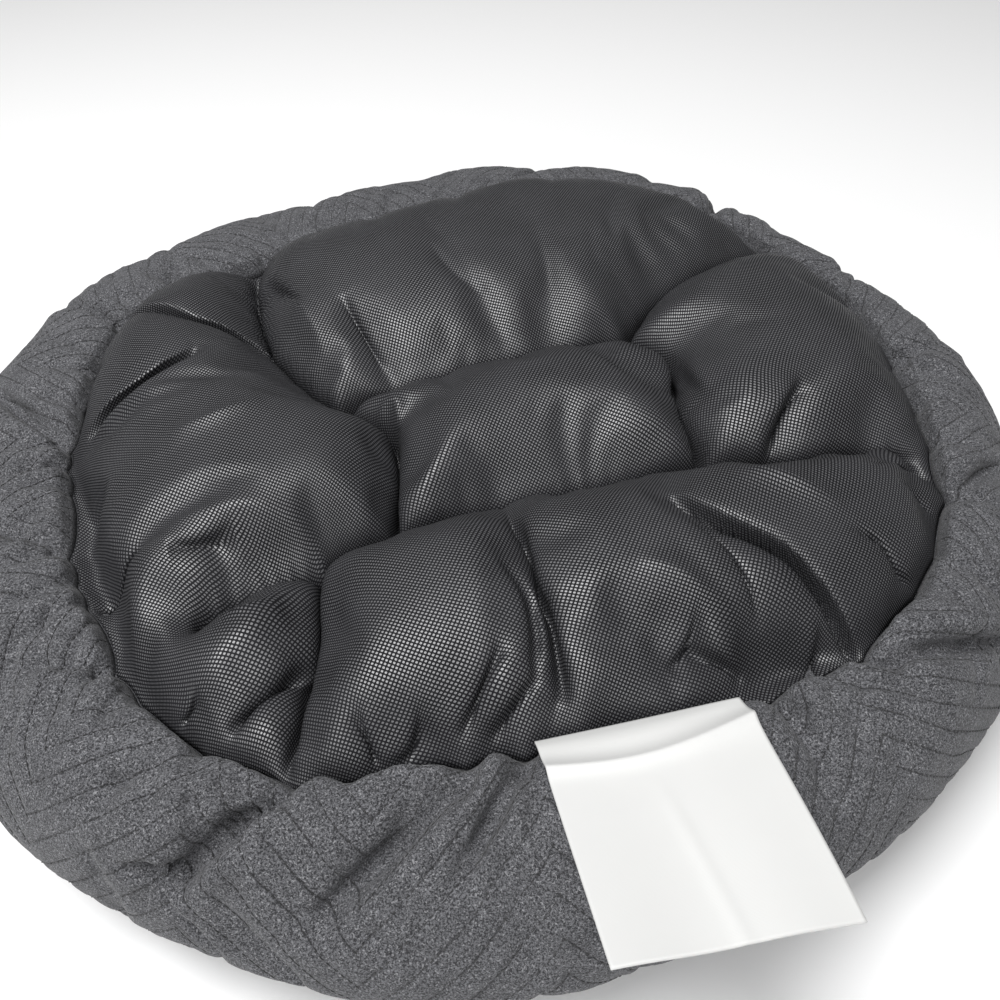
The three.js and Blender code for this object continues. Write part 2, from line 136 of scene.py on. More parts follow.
# Folds pressed into the cells: path, width and depth
FOLDS = [
    ([(-186, 55), (-151, 46), (-128, 42), (-108, 32)], 9, 5),
    ([(-191, -24), (-176, -15), (-160, -6), (-139, 10)], 8, 3),
    ([(-170, -134), (-155, -124), (-140, -116)], 9, 13),
    ([(15, -91), (22, -138), (31, -180), (29, -209)], 10, 18),
    ([(84, -110), (103, -127), (121, -137), (135, -143), (144, -157), (156, -174)], 9, 5),
    ([(-65, -169), (-76, -181), (-86, -192), (-97, -204)], 9, 12),
    ([(183, -22), (158, -48), (135, -73)], 9, 8),
    ([(-90, 100), (-62, 42), (-36, -7)], 11, 6),
    ([(-24, 120), (-3, 76), (10, 45)], 9, 4),
    ([(41, 110), (48, 54), (40, 17)], 9, 4),
    ([(203, -80), (208, -101), (206, -124)], 8, 7),
    ([(12, -170), (-8, -212)], 9, 7),
]

# Folds where the cloth left of the path lies over the cloth right of it: path, width and depth
FLAPS = [
    ([(-192, 55), (-168, 51), (-148, 43), (-128, 41), (-112, 33), (-98, 22)], 8, 5),
    ([(-194, -29), (-178, -20), (-163, -12), (-148, -1), (-138, 8)], 7, 7.5),
    ([(86, -108), (103, -124), (118, -134), (131, -142), (141, -153), (152, -168), (164, -184)],
     9, 8.5),
]

# Sharp creases pressed into the cells and ridges raised beside them: path, width and depth
CREASES = [
    ([(-141, -62), (-123, -57), (-109, -50), (-97, -42)], 6, -3),
    ([(-117, 90), (-89, 46)], 4, 6),
    ([(-109, 73), (-86, 37), (-75, 11)], 5, -3),
    ([(-67, 47), (-52, 19), (-44, 4)], 6, 6),
    ([(-19, 88), (-6, 61), (10, 45)], 6, 4),
    ([(-51, -42), (-42, -27), (-35, -30), (-38, -48)], 3.5, -4.5),
    ([(-136, -117), (-117, -111), (-92, -109), (-75, -113), (-65, -119)], 6, -3),
    ([(-128, -125), (-116, -122), (-101, -117)], 5, 7),
    ([(101, 22), (113, 8), (116, -33)], 4, 7),
    ([(97, 16), (104, -8), (101, -45)], 4, -3),
    ([(164, -38), (153, -49), (141, -68)], 4, 9),
    ([(158, -38), (145, -52), (134, -70)], 4, -3),
    ([(174, -84), (202, -60), (226, -66)], 4, 6),
    ([(181, -92), (203, -80), (224, -78)], 4, 6),
    ([(121, -97), (140, -109), (160, -124)], 7, -3.5),
    ([(94, -128), (103, -139), (110, -154), (116, -171)], 5, 6),
    ([(68, -151), (83, -157), (98, -166), (108, -173)], 6, -3.5),
    ([(91, -169), (82, -179), (76, -187)], 8, 7),
    ([(87, -179), (97, -181), (108, -185)], 4.5, 9),
    ([(143, -169), (138, -177), (138, -184)], 3.5, 6),
    ([(162, -132), (172, -134), (181, -143), (192, -147)], 4, 7),
    ([(192, -100), (206, -97), (215, -106)], 3, 4),
    ([(13, -141), (18, -153), (22, -170), (23, -195)], 3, 7),
    ([(19, -112), (25, -132), (29, -153), (33, -168), (35, -199)], 4.5, 13),
    ([(18, -137), (23, -157), (27, -174), (28, -195)], 2.5, -3),
    ([(-64, -126), (-76, -130), (-88, -136), (-98, -143)], 3, 7),
    ([(-85, -150), (-95, -156), (-108, -154)], 3, -2.5),
    ([(-66, -170), (-76, -181), (-86, -192), (-95, -202)], 6, 11),
    ([(-119, -196), (-107, -188)], 5, 9),
    ([(-45, -203), (-40, -211), (-36, -220)], 4, 7),
    ([(-19, -203), (-25, -211), (-31, -219)], 3.5, 7),
    ([(-74, -210), (-64, -213), (-54, -218)], 5, -3),
    ([(12, -182), (4, -193), (-6, -210)], 3.5, 7),
    ([(18, -184), (10, -195), (0, -206)], 3.5, -3),
    ([(24, -192), (13, -202), (3, -212)], 3, 7),
    ([(27, -197), (18, -205), (9, -212)], 3, -2.5),
    ([(-170, -134), (-155, -124), (-142, -117)], 4, 9),
    ([(-61, -139), (-61, -150), (-62, -163)], 2.5, -2),
]

# Hollows between the seam and the cells: angle, spread, width and depth
HOLLOWS = [(212, 20, 10, 9), (305, 8, 11, 9)]

# Small wrinkles and gathers placed at random: seed, count and, for gathers, their reach
STREWN_WRINKLES = (31, 90)
LOWER_GATHERS = (9, 70, 0.25)
PLAIN_SEAM_GATHERS = (21, 120, 0.3)
PLAIN_FACE_GATHERS = (22, 140, 0.34)

# Label: its lower left corner at the seam, heading, and height along its length
LABEL_ROOT = (22.0, -213.0)
LABEL_HEADING = -80.2
LABEL_LINE = [
    (0, 107.1), (6, 111.9), (14, 116), (26, 119), (44, 124.5), (66, 131.5), (94, 140.5),
]
LABEL_DROOP = 11.0
LABEL_ANGLE, LABEL_SPREAD = 288, 14  # the rim has no lip under the label
LABEL_FACES = (96, 72)  # along and across
LABEL_RIB = 0.00042  # metres from rib to rib

# The base seam lies in a valley between the rim's lip and the cushion's cells
VALLEY = 7.0
LIP = 2.2

# Gathers placed at random along the base seam, and the seam's cusp at a full one
GATHER_COUNT = 46
GATHER_SEED = 11
SEAM_INSET = 1.4
CUSP_DEPTH, CUSP_SPREAD = 5.5, 2.2

# Cloth simulation
CLOTH_QUALITY = 6
CLOTH_MASS = 0.0004

# Width and depth of the pressed line along a sewn channel
CHANNEL_PRESS = (3.2, 7.5)

# Stitches: sections along one stitch (place, width and height), and how they vary
STITCH_RINGS = [(-0.5, 0.35, -0.9), (-0.22, 1.0, 0.35), (0.22, 1.0, 0.35), (0.5, 0.35, -0.9)]
STITCH_SIDES = 3
STITCH_UNEVENNESS = 0.06
STITCH_SEED = 3

# Lights: name, place, width and the setting with its power
LIGHTS = [
    ("key", (-0.42, -0.22, 1.85), 1.0, "key_power"),
    ("front", (-0.15, -1.35, 1.45), 1.8, "front_power"),
]

# Camera fitted to the photograph: place in the rim's frame and angles in degrees
CAMERA_PLACE = (12.0, -397.3, 427.1)
CAMERA_YAW = -0.33
CAMERA_PITCH = 45.63
CAMERA_ROLL = -2.51
CAMERA_LENS = 34.2


# Curves and tables


def spline_value(a, b, c, d, t):
    return b + 0.5 * t * (c - a + t * (2 * a - 5 * b + 4 * c - d + t * (3 * (b - c) + d - a)))


def around_plan(key, angle):
    """Value of a station table at angles in degrees, smooth all the way round."""
    table = np.asarray(PLAN_STATIONS[key], float)
    place = (np.asarray(angle, float) / STATION_ANGLE) % len(table)
    station = np.floor(place).astype(int)
    near = [table[(station + step) % len(table)] for step in (-1, 0, 1, 2)]
    return spline_value(*near, place - station)


def smooth_rows(rows, steps):
    """A smooth open curve through rows of numbers."""
    rows = np.asarray(rows, float)
    ends = np.vstack([2 * rows[0] - rows[1], rows, 2 * rows[-1] - rows[-2]])
    curve = [
        spline_value(*ends[i:i + 4], step / steps)
        for i in range(len(rows) - 1)
        for step in range(steps)
    ]
    return np.array(curve + [rows[-1]])


def smooth_step(value, low, high):
    t = np.clip((value - low) / (high - low), 0, 1)
    return t * t * (3 - 2 * t)


def path_nearest(x, y, path):
    """Distance of plan points to a path, how far along it, the way to it, and its left side."""
    nearest = np.full(x.shape, 1e9)
    along = np.zeros(x.shape)
    way = np.zeros((*x.shape, 2))
    left = np.zeros(x.shape, bool)
    done = 0.0
    for (x0, y0), (x1, y1) in zip(path[:-1], path[1:]):
        dx, dy = x1 - x0, y1 - y0
        run = math.hypot(dx, dy)
        t = np.clip(((x - x0) * dx + (y - y0) * dy) / run**2, 0, 1)
        past = np.stack([x - x0 - t * dx, y - y0 - t * dy], -1)
        off = np.hypot(past[..., 0], past[..., 1])
        closer = off < nearest
        along = np.where(closer, done + t * run, along)
        way = np.where(closer[..., None], -past, way)
        left = np.where(closer, dx * (y - y0) > dy * (x - x0), left)
        nearest = np.minimum(nearest, off)
        done += run
    return nearest, along / done, way, left


def refined(points, times, closed=False):
    """A grid of points with smooth points set between them along the first axis."""
    if closed:
        around = np.concatenate([points[-1:], points, points[:2]])
    else:
        around = np.concatenate([2 * points[:1] - points[1:2], points,
                                 2 * points[-1:] - points[-2:-1]])
    near = [around[k:len(around) - 3 + k] for k in range(4)]
    between = [spline_value(*near, step / times) for step in range(times)]
    fine = np.stack(between, 1).reshape(-1, *points.shape[1:])
    return fine if closed else np.concatenate([fine, points[-1:]])


def angle_between(angle, other):
    return (np.asarray(angle, float) - other + 180) % 360 - 180


def polar(radius, angle):
    """Plan points at a radius and an angle in degrees, as x and y."""
    turn = np.radians(angle)
    return radius * np.cos(turn), radius * np.sin(turn)


def plan_angle(x, y):
    """Angle of plan points in degrees, from 0 to 360."""
    return np.degrees(np.arctan2(y, x)) % 360


def plateau(value, rise, fall):
    """1 between two slopes, 0 before the first and after the second."""
    return smooth_step(value, *rise) * (1 - smooth_step(value, *fall))


def blended(first, last, shares):
    return [first * (1 - t) + last * t for t in shares]


def evened(line, share):
    """Points at shares of a line's length, and the length."""
    run = np.concatenate([[0], np.cumsum(np.hypot(*np.diff(line, axis=0).T))])
    return np.stack([np.interp(share * run[-1], run, axis) for axis in line.T], -1), run[-1]


def seam_gathers():
    """Angle, strength, width, reach and lean of the gathers along the base seam."""
    random = np.random.default_rng(GATHER_SEED)
    known = [row[0] for row in RIM_WRINKLES if row[1] < 0.1]
    gathers = [(angle, 1.0, 1.3, 0.35, 0.0) for angle in known]
    for k in range(GATHER_COUNT):
        angle = (k + random.uniform(-0.3, 0.3)) * 360 / GATHER_COUNT
        strength, width = random.uniform(0.25, 0.85), random.uniform(0.8, 1.9)
        reach, lean = random.uniform(0.12, 0.45), random.uniform(-12, 12)
        if np.abs(angle_between(angle, known)).min() > 4:
            gathers.append((angle, strength, width, reach, lean))
    return gathers


PATH_STEPS = 6
CHANNEL_PATHS = [smooth_rows(path, PATH_STEPS) for path in CHANNELS.values()]
FOLD_PATHS = [smooth_rows(path, PATH_STEPS) for path, _, _ in FOLDS]
SMOOTH_SECTION = smooth_rows(QUILTED_SECTION, 8)
GATHERS = seam_gathers()


def cad_seam(angle):
    """Plan point of the CAD's base seam, which runs straight between its columns."""
    low = np.floor(np.asarray(angle, float) / CAD_COLUMN) * CAD_COLUMN
    t = (angle - low) / CAD_COLUMN
    first, last = (np.stack(polar(around_plan("seam", turn), turn))
                   for turn in (low, low + CAD_COLUMN))
    return first * (1 - t) + last * t


def seam_radius(angle):
    """Radius of the base seam, drawn outward in a cusp at every gather."""
    angle = np.asarray(angle, float)
    radius = around_plan("seam", angle) - SEAM_INSET
    for place, strength, *_ in GATHERS:
        cusp = np.exp(-np.abs(angle_between(angle, place)) / CUSP_SPREAD)
        radius = radius + CUSP_DEPTH * strength * cusp
    return radius


def inside_seam(points):
    """How far inside the base seam points lie in plan."""
    x, y = points[:, 0], points[:, 1]
    return seam_radius(plan_angle(x, y)) - np.hypot(x, y)


def seam_point(angle, inset=0.0):
    """Plan point of the base seam, set in towards the middle."""
    return np.stack(polar(seam_radius(angle) - inset, angle))


def frame_shift():
    """From the rim's own frame to the part's, worked out from the base cushion's box."""
    plan = cad_seam(np.arange(0, 360, CAD_COLUMN))
    plan *= 1 - CLOTH_GAP / np.hypot(*plan)
    low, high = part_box("base_cushion")
    middle = (plan.min(axis=1) + plan.max(axis=1)) / 2
    return np.array([(low[0] + high[0]) / 2 - middle[0] * MM,
                     (low[1] + high[1]) / 2 - middle[1] * MM, 0.0])


SHIFT = frame_shift()


def placed(points):
    """Points in millimetres in the rim's frame, as metres in the part's frame."""
    return np.asarray(points, float) * MM + SHIFT


# Meshes


def mesh_object(name, points, faces):
    mesh = bpy.data.meshes.new(name)
    mesh.from_pydata([tuple(p) for p in points], [], [tuple(int(i) for i in f) for f in faces])
    mesh.update()
    mesh.polygons.foreach_set("use_smooth", [True] * len(mesh.polygons))
    piece = bpy.data.objects.new(name, mesh)
    bpy.context.scene.collection.objects.link(piece)
    return piece


def set_corner_uvs(piece, uvs):
    layer = piece.data.uv_layers.new(name="cloth")
    layer.data.foreach_set("uv", (np.asarray(uvs).reshape(-1, 2) * MM).astype(np.float32).ravel())


def grid_faces(rows, columns, closed=False):
    """Quads of a grid whose points run along the columns first."""
    row = np.arange(rows - (0 if closed else 1))
    column = np.arange(columns - 1)
    r, c = np.meshgrid(row, column, indexing="ij")
    after = (r + 1) % rows
    return np.stack([r * columns + c, after * columns + c,
                     after * columns + c + 1, r * columns + c + 1], -1).reshape(-1, 4)


def read_out(items, key, width):
    """Numbers of a mesh's points or face corners, a row for each."""
    flat = np.empty(len(items) * width)
    items.foreach_get(key, flat)
    return flat.reshape(-1, width)


def evaluated(piece):
    return piece.evaluated_get(bpy.context.evaluated_depsgraph_get())


def face_outward(piece):
    fix = bmesh.new()
    fix.from_mesh(piece.data)
    bmesh.ops.recalc_face_normals(fix, faces=fix.faces)
    fix.to_mesh(piece.data)
    fix.free()


def cloth_object(name, points, faces, uvs, *materials):
    """A closed cloth of points in millimetres, with cloth coordinates per face corner."""
    piece = mesh_object(name, placed(points), faces)
    set_corner_uvs(piece, uvs)
    for material in materials:
        piece.data.materials.append(material)
    face_outward(piece)
    return piece


def own(piece):
    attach(piece, "root")


# Shaders


class Value:
    """A socket of numbers that takes part in Python arithmetic."""

    def __init__(self, shader, socket):
        self.shader = shader
        self.socket = socket

    def _node(self, operation, *operands):
        node = self.shader.add("ShaderNodeMath", {"operation": operation}, *operands)
        return Value(self.shader, node.outputs[0])

    def _math(self, operation, *others):
        return self._node(operation, self, *others)

    def __rsub__(self, other):
        return self._node("SUBTRACT", other, self)

    def between(self, low, high):
        """0 below low, 1 above high, smooth between them."""
        node = self.shader.add("ShaderNodeMapRange", {"interpolation_type": "SMOOTHSTEP"},
                               self, low, high, 0.0, 1.0)
        return Value(self.shader, node.outputs[0])

    __add__ = partialmethod(_math, "ADD")
    __sub__ = partialmethod(_math, "SUBTRACT")
    __mul__ = partialmethod(_math, "MULTIPLY")
    __truediv__ = partialmethod(_math, "DIVIDE")
    __pow__ = partialmethod(_math, "POWER")
    __abs__ = partialmethod(_math, "ABSOLUTE")
    least = partialmethod(_math, "MINIMUM")
    most = partialmethod(_math, "MAXIMUM")
    fraction = partialmethod(_math, "FRACT")
    sine = partialmethod(_math, "SINE")


class Shader:
    """A material's node tree around one Principled shader."""

    def __init__(self, name):
        self.material = bpy.data.materials.new(name)
        self.material.use_nodes = True
        self.tree = self.material.node_tree
        self.principled = self.tree.nodes["Principled BSDF"]

    def add(self, kind, settings=None, *inputs, **named):
        node = self.tree.nodes.new(kind)
        for key, setting in (settings or {}).items():
            setattr(node, key, setting)
        for socket, given in zip(node.inputs, inputs):
            self.feed(socket, given)
        self.feed_named(node, named)
        return node

    def feed(self, socket, given):
        if isinstance(given, Value):
            given = given.socket
        if isinstance(given, bpy.types.NodeSocket):
            self.tree.links.new(given, socket)
        else:
            socket.default_value = given

    def feed_named(self, node, named):
        for key, given in named.items():
            self.feed(node.inputs[key.replace("_", " ")], given)

    def plan(self, rotation=0.0):
        """The piece's own cloth coordinates, in metres, turned."""
        uv = self.add("ShaderNodeUVMap", {"uv_map": "cloth"})
        return self.add("ShaderNodeMapping", Vector=uv.outputs[0],
                        Rotation=(0, 0, rotation)).outputs[0]

    def solid(self):
        """The piece's own coordinates in space."""
        return self.add("ShaderNodeTexCoord").outputs["Object"]

    def split(self, vector):
        """The first two numbers of a vector."""
        node = self.add("ShaderNodeSeparateXYZ", {}, vector)
        return Value(self, node.outputs[0]), Value(self, node.outputs[1])

    def noise(self, vector, scale, detail, roughness):
        node = self.add("ShaderNodeTexNoise", Vector=vector, Scale=scale, Detail=detail,
                        Roughness=roughness)
        return Value(self, node.outputs["Fac"])

    def mix(self, share, low, high):
        node = self.add("ShaderNodeMix", {"data_type": "RGBA"})
        for socket, given in ((0, share), (6, low), (7, high)):
            self.feed(node.inputs[socket], given)
        return node.outputs[2]

    def bump(self, height, distance, strength):
        return self.add("ShaderNodeBump", Strength=strength, Distance=distance,
                        Height=height).outputs[0]

    def surface(self, **named):
        self.feed_named(self.principled, named)
        return self.material


def colour(rgb):
    return (*rgb, 1.0)


def spunbond_material(settings):
    """Black spunbonded cloth: glossy bonding points in a square lattice."""
    shader = Shader("black_spunbond")
    cloth = shader.plan(math.radians(settings.point_turn))
    u, v = shader.split(cloth)
    pitch = settings.point_pitch
    across = abs((u / pitch).fraction() - 0.5)
    along = abs((v / pitch).fraction() - 0.5)
    square = across.most(along)
    round_off = (across * across + along * along) ** 0.5
    point = 1.0 - (square * 0.5 + round_off * 0.5).between(0.22, 0.37)
    fibre = shader.noise(cloth, scale=2600.0, detail=3.0, roughness=0.6)
    cloudy = shader.noise(cloth, scale=34.0, detail=3.0, roughness=0.55)
    base = shader.mix(cloudy.between(0.3, 0.7), colour(settings.cloth_dark),
                      colour(settings.cloth_light))
    strength = point * ((fibre - 0.5) * 2.2 + 0.85).least(1.0).most(0.2)
    lit = shader.mix(strength, base, colour(settings.point_colour))
    height = fibre * 0.35 - point
    return shader.surface(
        Base_Color=lit,
        Roughness=0.75 - strength * 0.3,
        Normal=shader.bump(height, 0.0002, 0.8),
        Specular_IOR_Level=0.12,
        Coat_Weight=strength * settings.point_gloss,
        Coat_Roughness=0.5,
        Coat_IOR=2.3,
    )


def quilting_off(shader, cloth, circumference, length):
    """Distance from the nearest chevron line, in metres, from the cloth coordinates."""
    u, v = shader.split(cloth)
    turn = (u * (360 / CHEVRON_ANGLE / circumference) - CHEVRON_TIP / CHEVRON_ANGLE).fraction()
    fold = 0.5 - abs(turn - 0.5)
    place = v * (PANEL_ROWS / length) + fold * (2 * HALF_CHEVRON_ROWS)
    off = abs((place * 0.5).fraction() * 2.0 - 1.0)
    return off * (LINE_SLANT * length / PANEL_ROWS)


def jersey_material(name, dark, light, fleck, panel=None):
    """Heather grey jersey: light and dark fibres in a fine grain, and sewn chevrons with painted shade
    along their grooves.
    """
    shader = Shader(name)
    place = shader.solid()
    coarse = shader.noise(place, scale=1300.0, detail=2.0, roughness=0.7)
    fine = shader.noise(place, scale=2900.0, detail=2.0, roughness=0.6)
    wide = shader.noise(place, scale=75.0, detail=3.0, roughness=0.6)
    tone = (coarse * 0.6 + fine * 0.4).between(0.41, 0.6)
    base = shader.mix(tone, colour(dark), colour(light))
    specks = shader.noise(place, scale=1150.0, detail=1.0, roughness=0.5).between(0.61, 0.7)
    flecked = shader.mix(specks * 0.6, base, colour(fleck))
    soft = shader.mix((wide - 0.5) * 0.6 + 0.12, flecked, colour(dark))
    height = coarse * 0.00012 + fine * 0.00008
    if panel:
        cloth = shader.plan()
        off = quilting_off(shader, cloth, *panel)
        # Painted shade: the chevron lines are darkened as if shaded in their sewn grooves, more in some
        # patches than others
        groove_shade_patches = shader.noise(cloth, scale=45.0, detail=2.0, roughness=0.5).between(0.38, 0.6)
        line = (1.0 - off.between(0.0001, 0.0007)) * (groove_shade_patches * 0.9 + 0.1)
        soft = shader.mix(line * 0.45, soft, colour([c * 0.5 for c in dark]))
        height = height - line * 0.0004
    return shader.surface(
        Base_Color=soft,
        Roughness=0.93 - tone * 0.06,
        Normal=shader.bump(height, 1.0, 0.5),
        Specular_IOR_Level=0.2,
        Sheen_Weight=0.08,
        Sheen_Roughness=0.55,
    )


def label_material(settings):
    """White label cloth: close ribs and a faint cloudiness."""
    shader = Shader("label_cloth")
    cloth = shader.plan()
    _, v = shader.split(cloth)
    ribs = (v * (2 * math.pi / LABEL_RIB)).sine() * 0.5 + 0.5
    cloudy = shader.noise(cloth, scale=55.0, detail=3.0, roughness=0.5)
    tone = shader.mix(cloudy * 0.5, colour(settings.label_colour), colour(settings.label_shade))
    return shader.surface(
        Base_Color=tone,
        Roughness=ribs * 0.08 + 0.52,
        Normal=shader.bump(ribs * 0.4 + cloudy * 0.6, 0.00008, 0.35),
        Specular_IOR_Level=0.35,
    )


def thread_material(name, tint):
    shader = Shader(name)
    place = shader.solid()
    twist = shader.noise(place, scale=2400.0, detail=2.0, roughness=0.5)
    tone = shader.mix(twist, colour([c * 0.7 for c in tint]), colour([c * 1.3 for c in tint]))
    return shader.surface(Base_Color=tone, Roughness=twist * 0.1 + 0.7,
                          Normal=shader.bump(twist, 0.0001, 0.4), Sheen_Weight=0.2)


# Base cushion


def disc_grid(count):
    """A square grid laid over a disc: radius share and angle of every point."""
    side = np.linspace(-1, 1, count + 1)
    a, b = (values.ravel() for values in np.meshgrid(side, side, indexing="ij"))
    wide = np.abs(a) > np.abs(b)
    reach = np.where(wide, a, b)
    safe = np.where(reach == 0, 1, reach)
    angle = np.where(wide, b / safe * math.pi / 4, math.pi / 2 - a / safe * math.pi / 4)
    x = reach * np.cos(angle)
    y = reach * np.sin(angle)
    return np.hypot(x, y), plan_angle(x, y)


def border_loop(count):
    """Border points of a disc grid, counter-clockwise in plan."""
    size = count + 1
    low = [i * size for i in range(count)]
    right = [count * size + j for j in range(count)]
    high = [i * size + count for i in range(count, 0, -1)]
    left = list(range(count, 0, -1))
    return np.array(low + right + high + left)


def shoulder(distance, width):
    left = 1 - np.clip(distance / width, 0, 1)
    return np.sqrt(1 - left * left)


def cushion_height(x, y, settings):
    """Height of the base cushion's upper face over plan points."""
    radius = np.hypot(x, y)
    angle = plan_angle(x, y)
    seam = seam_radius(angle)
    from_edge = np.maximum(seam - CLOTH_GAP - radius, 0)
    flat, sink = np.zeros_like(radius), np.zeros_like(radius)
    slope = np.full_like(radius, settings.shoulder_width / MM)
    for place, spread, width, depth in HOLLOWS:
        near = np.exp(-((angle_between(angle, place) / spread) ** 2))
        flat += width * near
        slope *= 1 - 0.45 * near
        sink += depth * near * np.sin(math.pi * np.clip(from_edge / (2.4 * width), 0, 1)) ** 2
    from_seam = np.maximum(from_edge - flat, 0)
    lift = shoulder(from_seam, slope) ** 1.3
    nearest = np.min([path_nearest(x, y, path)[0] for path in CHANNEL_PATHS], axis=0)
    from_channel = shoulder(nearest, settings.cell_shoulder / MM)
    crown = settings.crown_height / MM * (1 - 0.16 * (radius / seam) ** 2)
    uneven = 3 * np.sin(2 * math.pi * x / 195 + 0.6) * np.sin(2 * math.pi * y / 170 + 0.9)
    rise = (crown + uneven) * from_channel - settings.channel_sink / MM * (1 - from_channel)
    for path, (_, width, depth) in zip(FOLD_PATHS, FOLDS):
        off, along, *_ = path_nearest(x, y, path)
        fade = 0.35 + 0.65 * np.sin(math.pi * np.clip(along, 0.08, 0.92))
        rise = rise - depth * fade * (1 - shoulder(off, 2.6 * width)) * from_channel
    for place, strength, width, _, _ in GATHERS:
        off = angle_between(angle, place)
        pull = np.exp(-((off / width) ** 2)) * np.exp(-from_seam / 22)
        rise = rise - 7 * strength * pull
    return BASE_SEAM - VALLEY * (1 - lift) + lift * rise - sink


def grid_edges(count):
    """Pairs of neighbours in a square grid of points."""
    index = np.arange((count + 1) ** 2).reshape(count + 1, count + 1)
    return np.concatenate([np.stack([a.ravel(), b.ravel()], -1)
                           for a, b in ((index[:-1], index[1:]), (index[:, :-1], index[:, 1:]))])


def averaged(values, edges, share, held, rounds):
    """Values moved a share of the way to their neighbours' average, round after round."""
    degree = np.bincount(edges.ravel(), minlength=len(values))[:, None]
    for _ in range(rounds):
        total = np.zeros_like(values)
        for k in range(values.shape[1]):
            for a, b in (edges.T, edges.T[::-1]):
                total[:, k] += np.bincount(a, values[b, k], len(values))
        moved = values + share * (total / degree - values)
        values = np.where(held[:, None], values, moved)
    return values


def cushion_sheet(count, settings):
    """The upper face as a sheet of points, with the points on channels marked."""
    share, angle = disc_grid(count)
    edge = seam_point(angle, CLOTH_GAP)
    plan = np.stack([share * edge[0], share * edge[1]], -1)
    edges = grid_edges(count)
    border = np.zeros(len(plan), bool)
    border[border_loop(count)] = True
    # Points beside a channel move onto it, and of two that would meet one stays
    reach = 0.5 * np.linalg.norm(plan[edges[:, 0]] - plan[edges[:, 1]], axis=1).mean()
    target, best = plan.copy(), np.full(len(plan), reach)
    creases = [path[1:-2] for path, (_, _, depth) in zip(FOLD_PATHS, FOLDS) if depth > 10]
    for path in CHANNEL_PATHS + creases:
        for start, end in zip(path[:-1], path[1:]):
            run = end - start
            t = np.clip((plan - start) @ run / (run @ run), 0, 1)
            near = start + t[:, None] * run
            off = np.linalg.norm(near - plan, axis=1)
            closer = (off < best) & ~border
            target[closer], best[closer] = near[closer], off[closer]
    snapped = (best < reach) & ~border
    a, b = edges.T
    short = snapped[a] & snapped[b] & (np.linalg.norm(target[a] - target[b], axis=1) < 1.1 * reach)
    loser = np.where(best[a] > best[b], a, b)[short]
    target[loser], snapped[loser] = plan[loser], False
    held = snapped | border
    target = averaged(target, edges, 0.5, held, rounds=6)
    return np.column_stack([target, cushion_height(*target.T, settings)]), held


def inflate(sheet, faces, pinned, settings):
    """Cloth simulation of the sheet under the filling's pressure, held at its seams."""
    piece = mesh_object("inflating", sheet * MM, faces)
    hold = piece.vertex_groups.new(name="seams")
    hold.add([int(i) for i in np.flatnonzero(pinned)], 1.0, "REPLACE")
    modifier = piece.modifiers.new("filling", "CLOTH")
    cloth = modifier.settings
    cloth.quality = CLOTH_QUALITY
    cloth.mass = CLOTH_MASS
    cloth.bending_stiffness = settings.bending
    cloth.air_damping = 1
    cloth.shrink_min = cloth.shrink_max = -settings.spare_cloth
    cloth.vertex_group_mass = hold.name
    cloth.use_pressure = True
    cloth.uniform_pressure_force = settings.pressure
    cloth.effector_weights.gravity = 0
    modifier.collision_settings.use_collision = False
    modifier.collision_settings.use_self_collision = False
    modifier.point_cache.frame_start = 1
    modifier.point_cache.frame_end = settings.frames
    scene = bpy.context.scene
    for step in range(1, settings.frames + 1):
        scene.frame_set(step)
    shaped = read_out(evaluated(piece).data.vertices, "co", 3) / MM
    scene.frame_set(1)
    bpy.data.objects.remove(piece)
    return shaped


def cut_corners(faces, cut):
    """An index for every face corner, shared round a point except across cut edges."""
    faces = np.asarray(faces)
    parent = list(range(faces.size))

    def root(i):
        while parent[i] != i:
            parent[i] = parent[parent[i]]
            i = parent[i]
        return i

    sides = {}
    for f, face in enumerate(faces.tolist()):
        for k in range(4):
            a, b = face[k], face[(k + 1) % 4]
            other = sides.pop((b, a), None)
            if other is None:
                sides[(a, b)] = (4 * f + k, 4 * f + (k + 1) % 4)
            elif not (cut[a] and cut[b]):
                parent[root(4 * f + k)] = root(other[1])
                parent[root(4 * f + (k + 1) % 4)] = root(other[0])
    roots = np.array([root(i) for i in range(faces.size)])
    return np.unique(roots, return_inverse=True)[1].reshape(faces.shape)


def lay_flat(points, faces, corner, start, rounds):
    """Cloth coordinates per face corner: every face turned level, then joined up."""
    quad = points[faces]
    normal = np.cross(quad[:, 2] - quad[:, 0], quad[:, 3] - quad[:, 1])
    normal /= np.maximum(np.linalg.norm(normal, axis=1, keepdims=True), 1e-9)
    normal *= np.sign(normal[:, 2].sum())
    tip = normal[:, :2] / np.maximum(1 + normal[:, 2:], 0.25)
    pairs, wanted = [], []
    for i, j in ((0, 1), (1, 2), (2, 3), (3, 0), (0, 2), (1, 3)):
        edge = quad[:, j] - quad[:, i]
        pairs.append(corner[:, [i, j]])
        wanted.append(edge[:, :2] - edge[:, 2:] * tip)
    a, b = np.concatenate(pairs).T
    wanted = np.concatenate(wanted)
    flat = np.zeros((corner.max() + 1, 2))
    flat[corner.ravel()] = start.reshape(-1, 2)

    def gathered(steps):
        return np.stack([np.bincount(b, steps[:, k], len(flat))
                         - np.bincount(a, steps[:, k], len(flat)) for k in (0, 1)], -1)

    # Least squares by conjugate gradients: neighbours as far apart as in the level faces
    left = gathered(wanted - (flat[b] - flat[a]))
    course, size = left.copy(), (left * left).sum(0)
    for _ in range(rounds):
        pull = gathered(course[b] - course[a])
        step = size / np.maximum((course * pull).sum(0), 1e-12)
        flat += step * course
        left -= step * pull
        size, before = (left * left).sum(0), size
        course = left + size / np.maximum(before, 1e-12) * course
    return flat[corner]


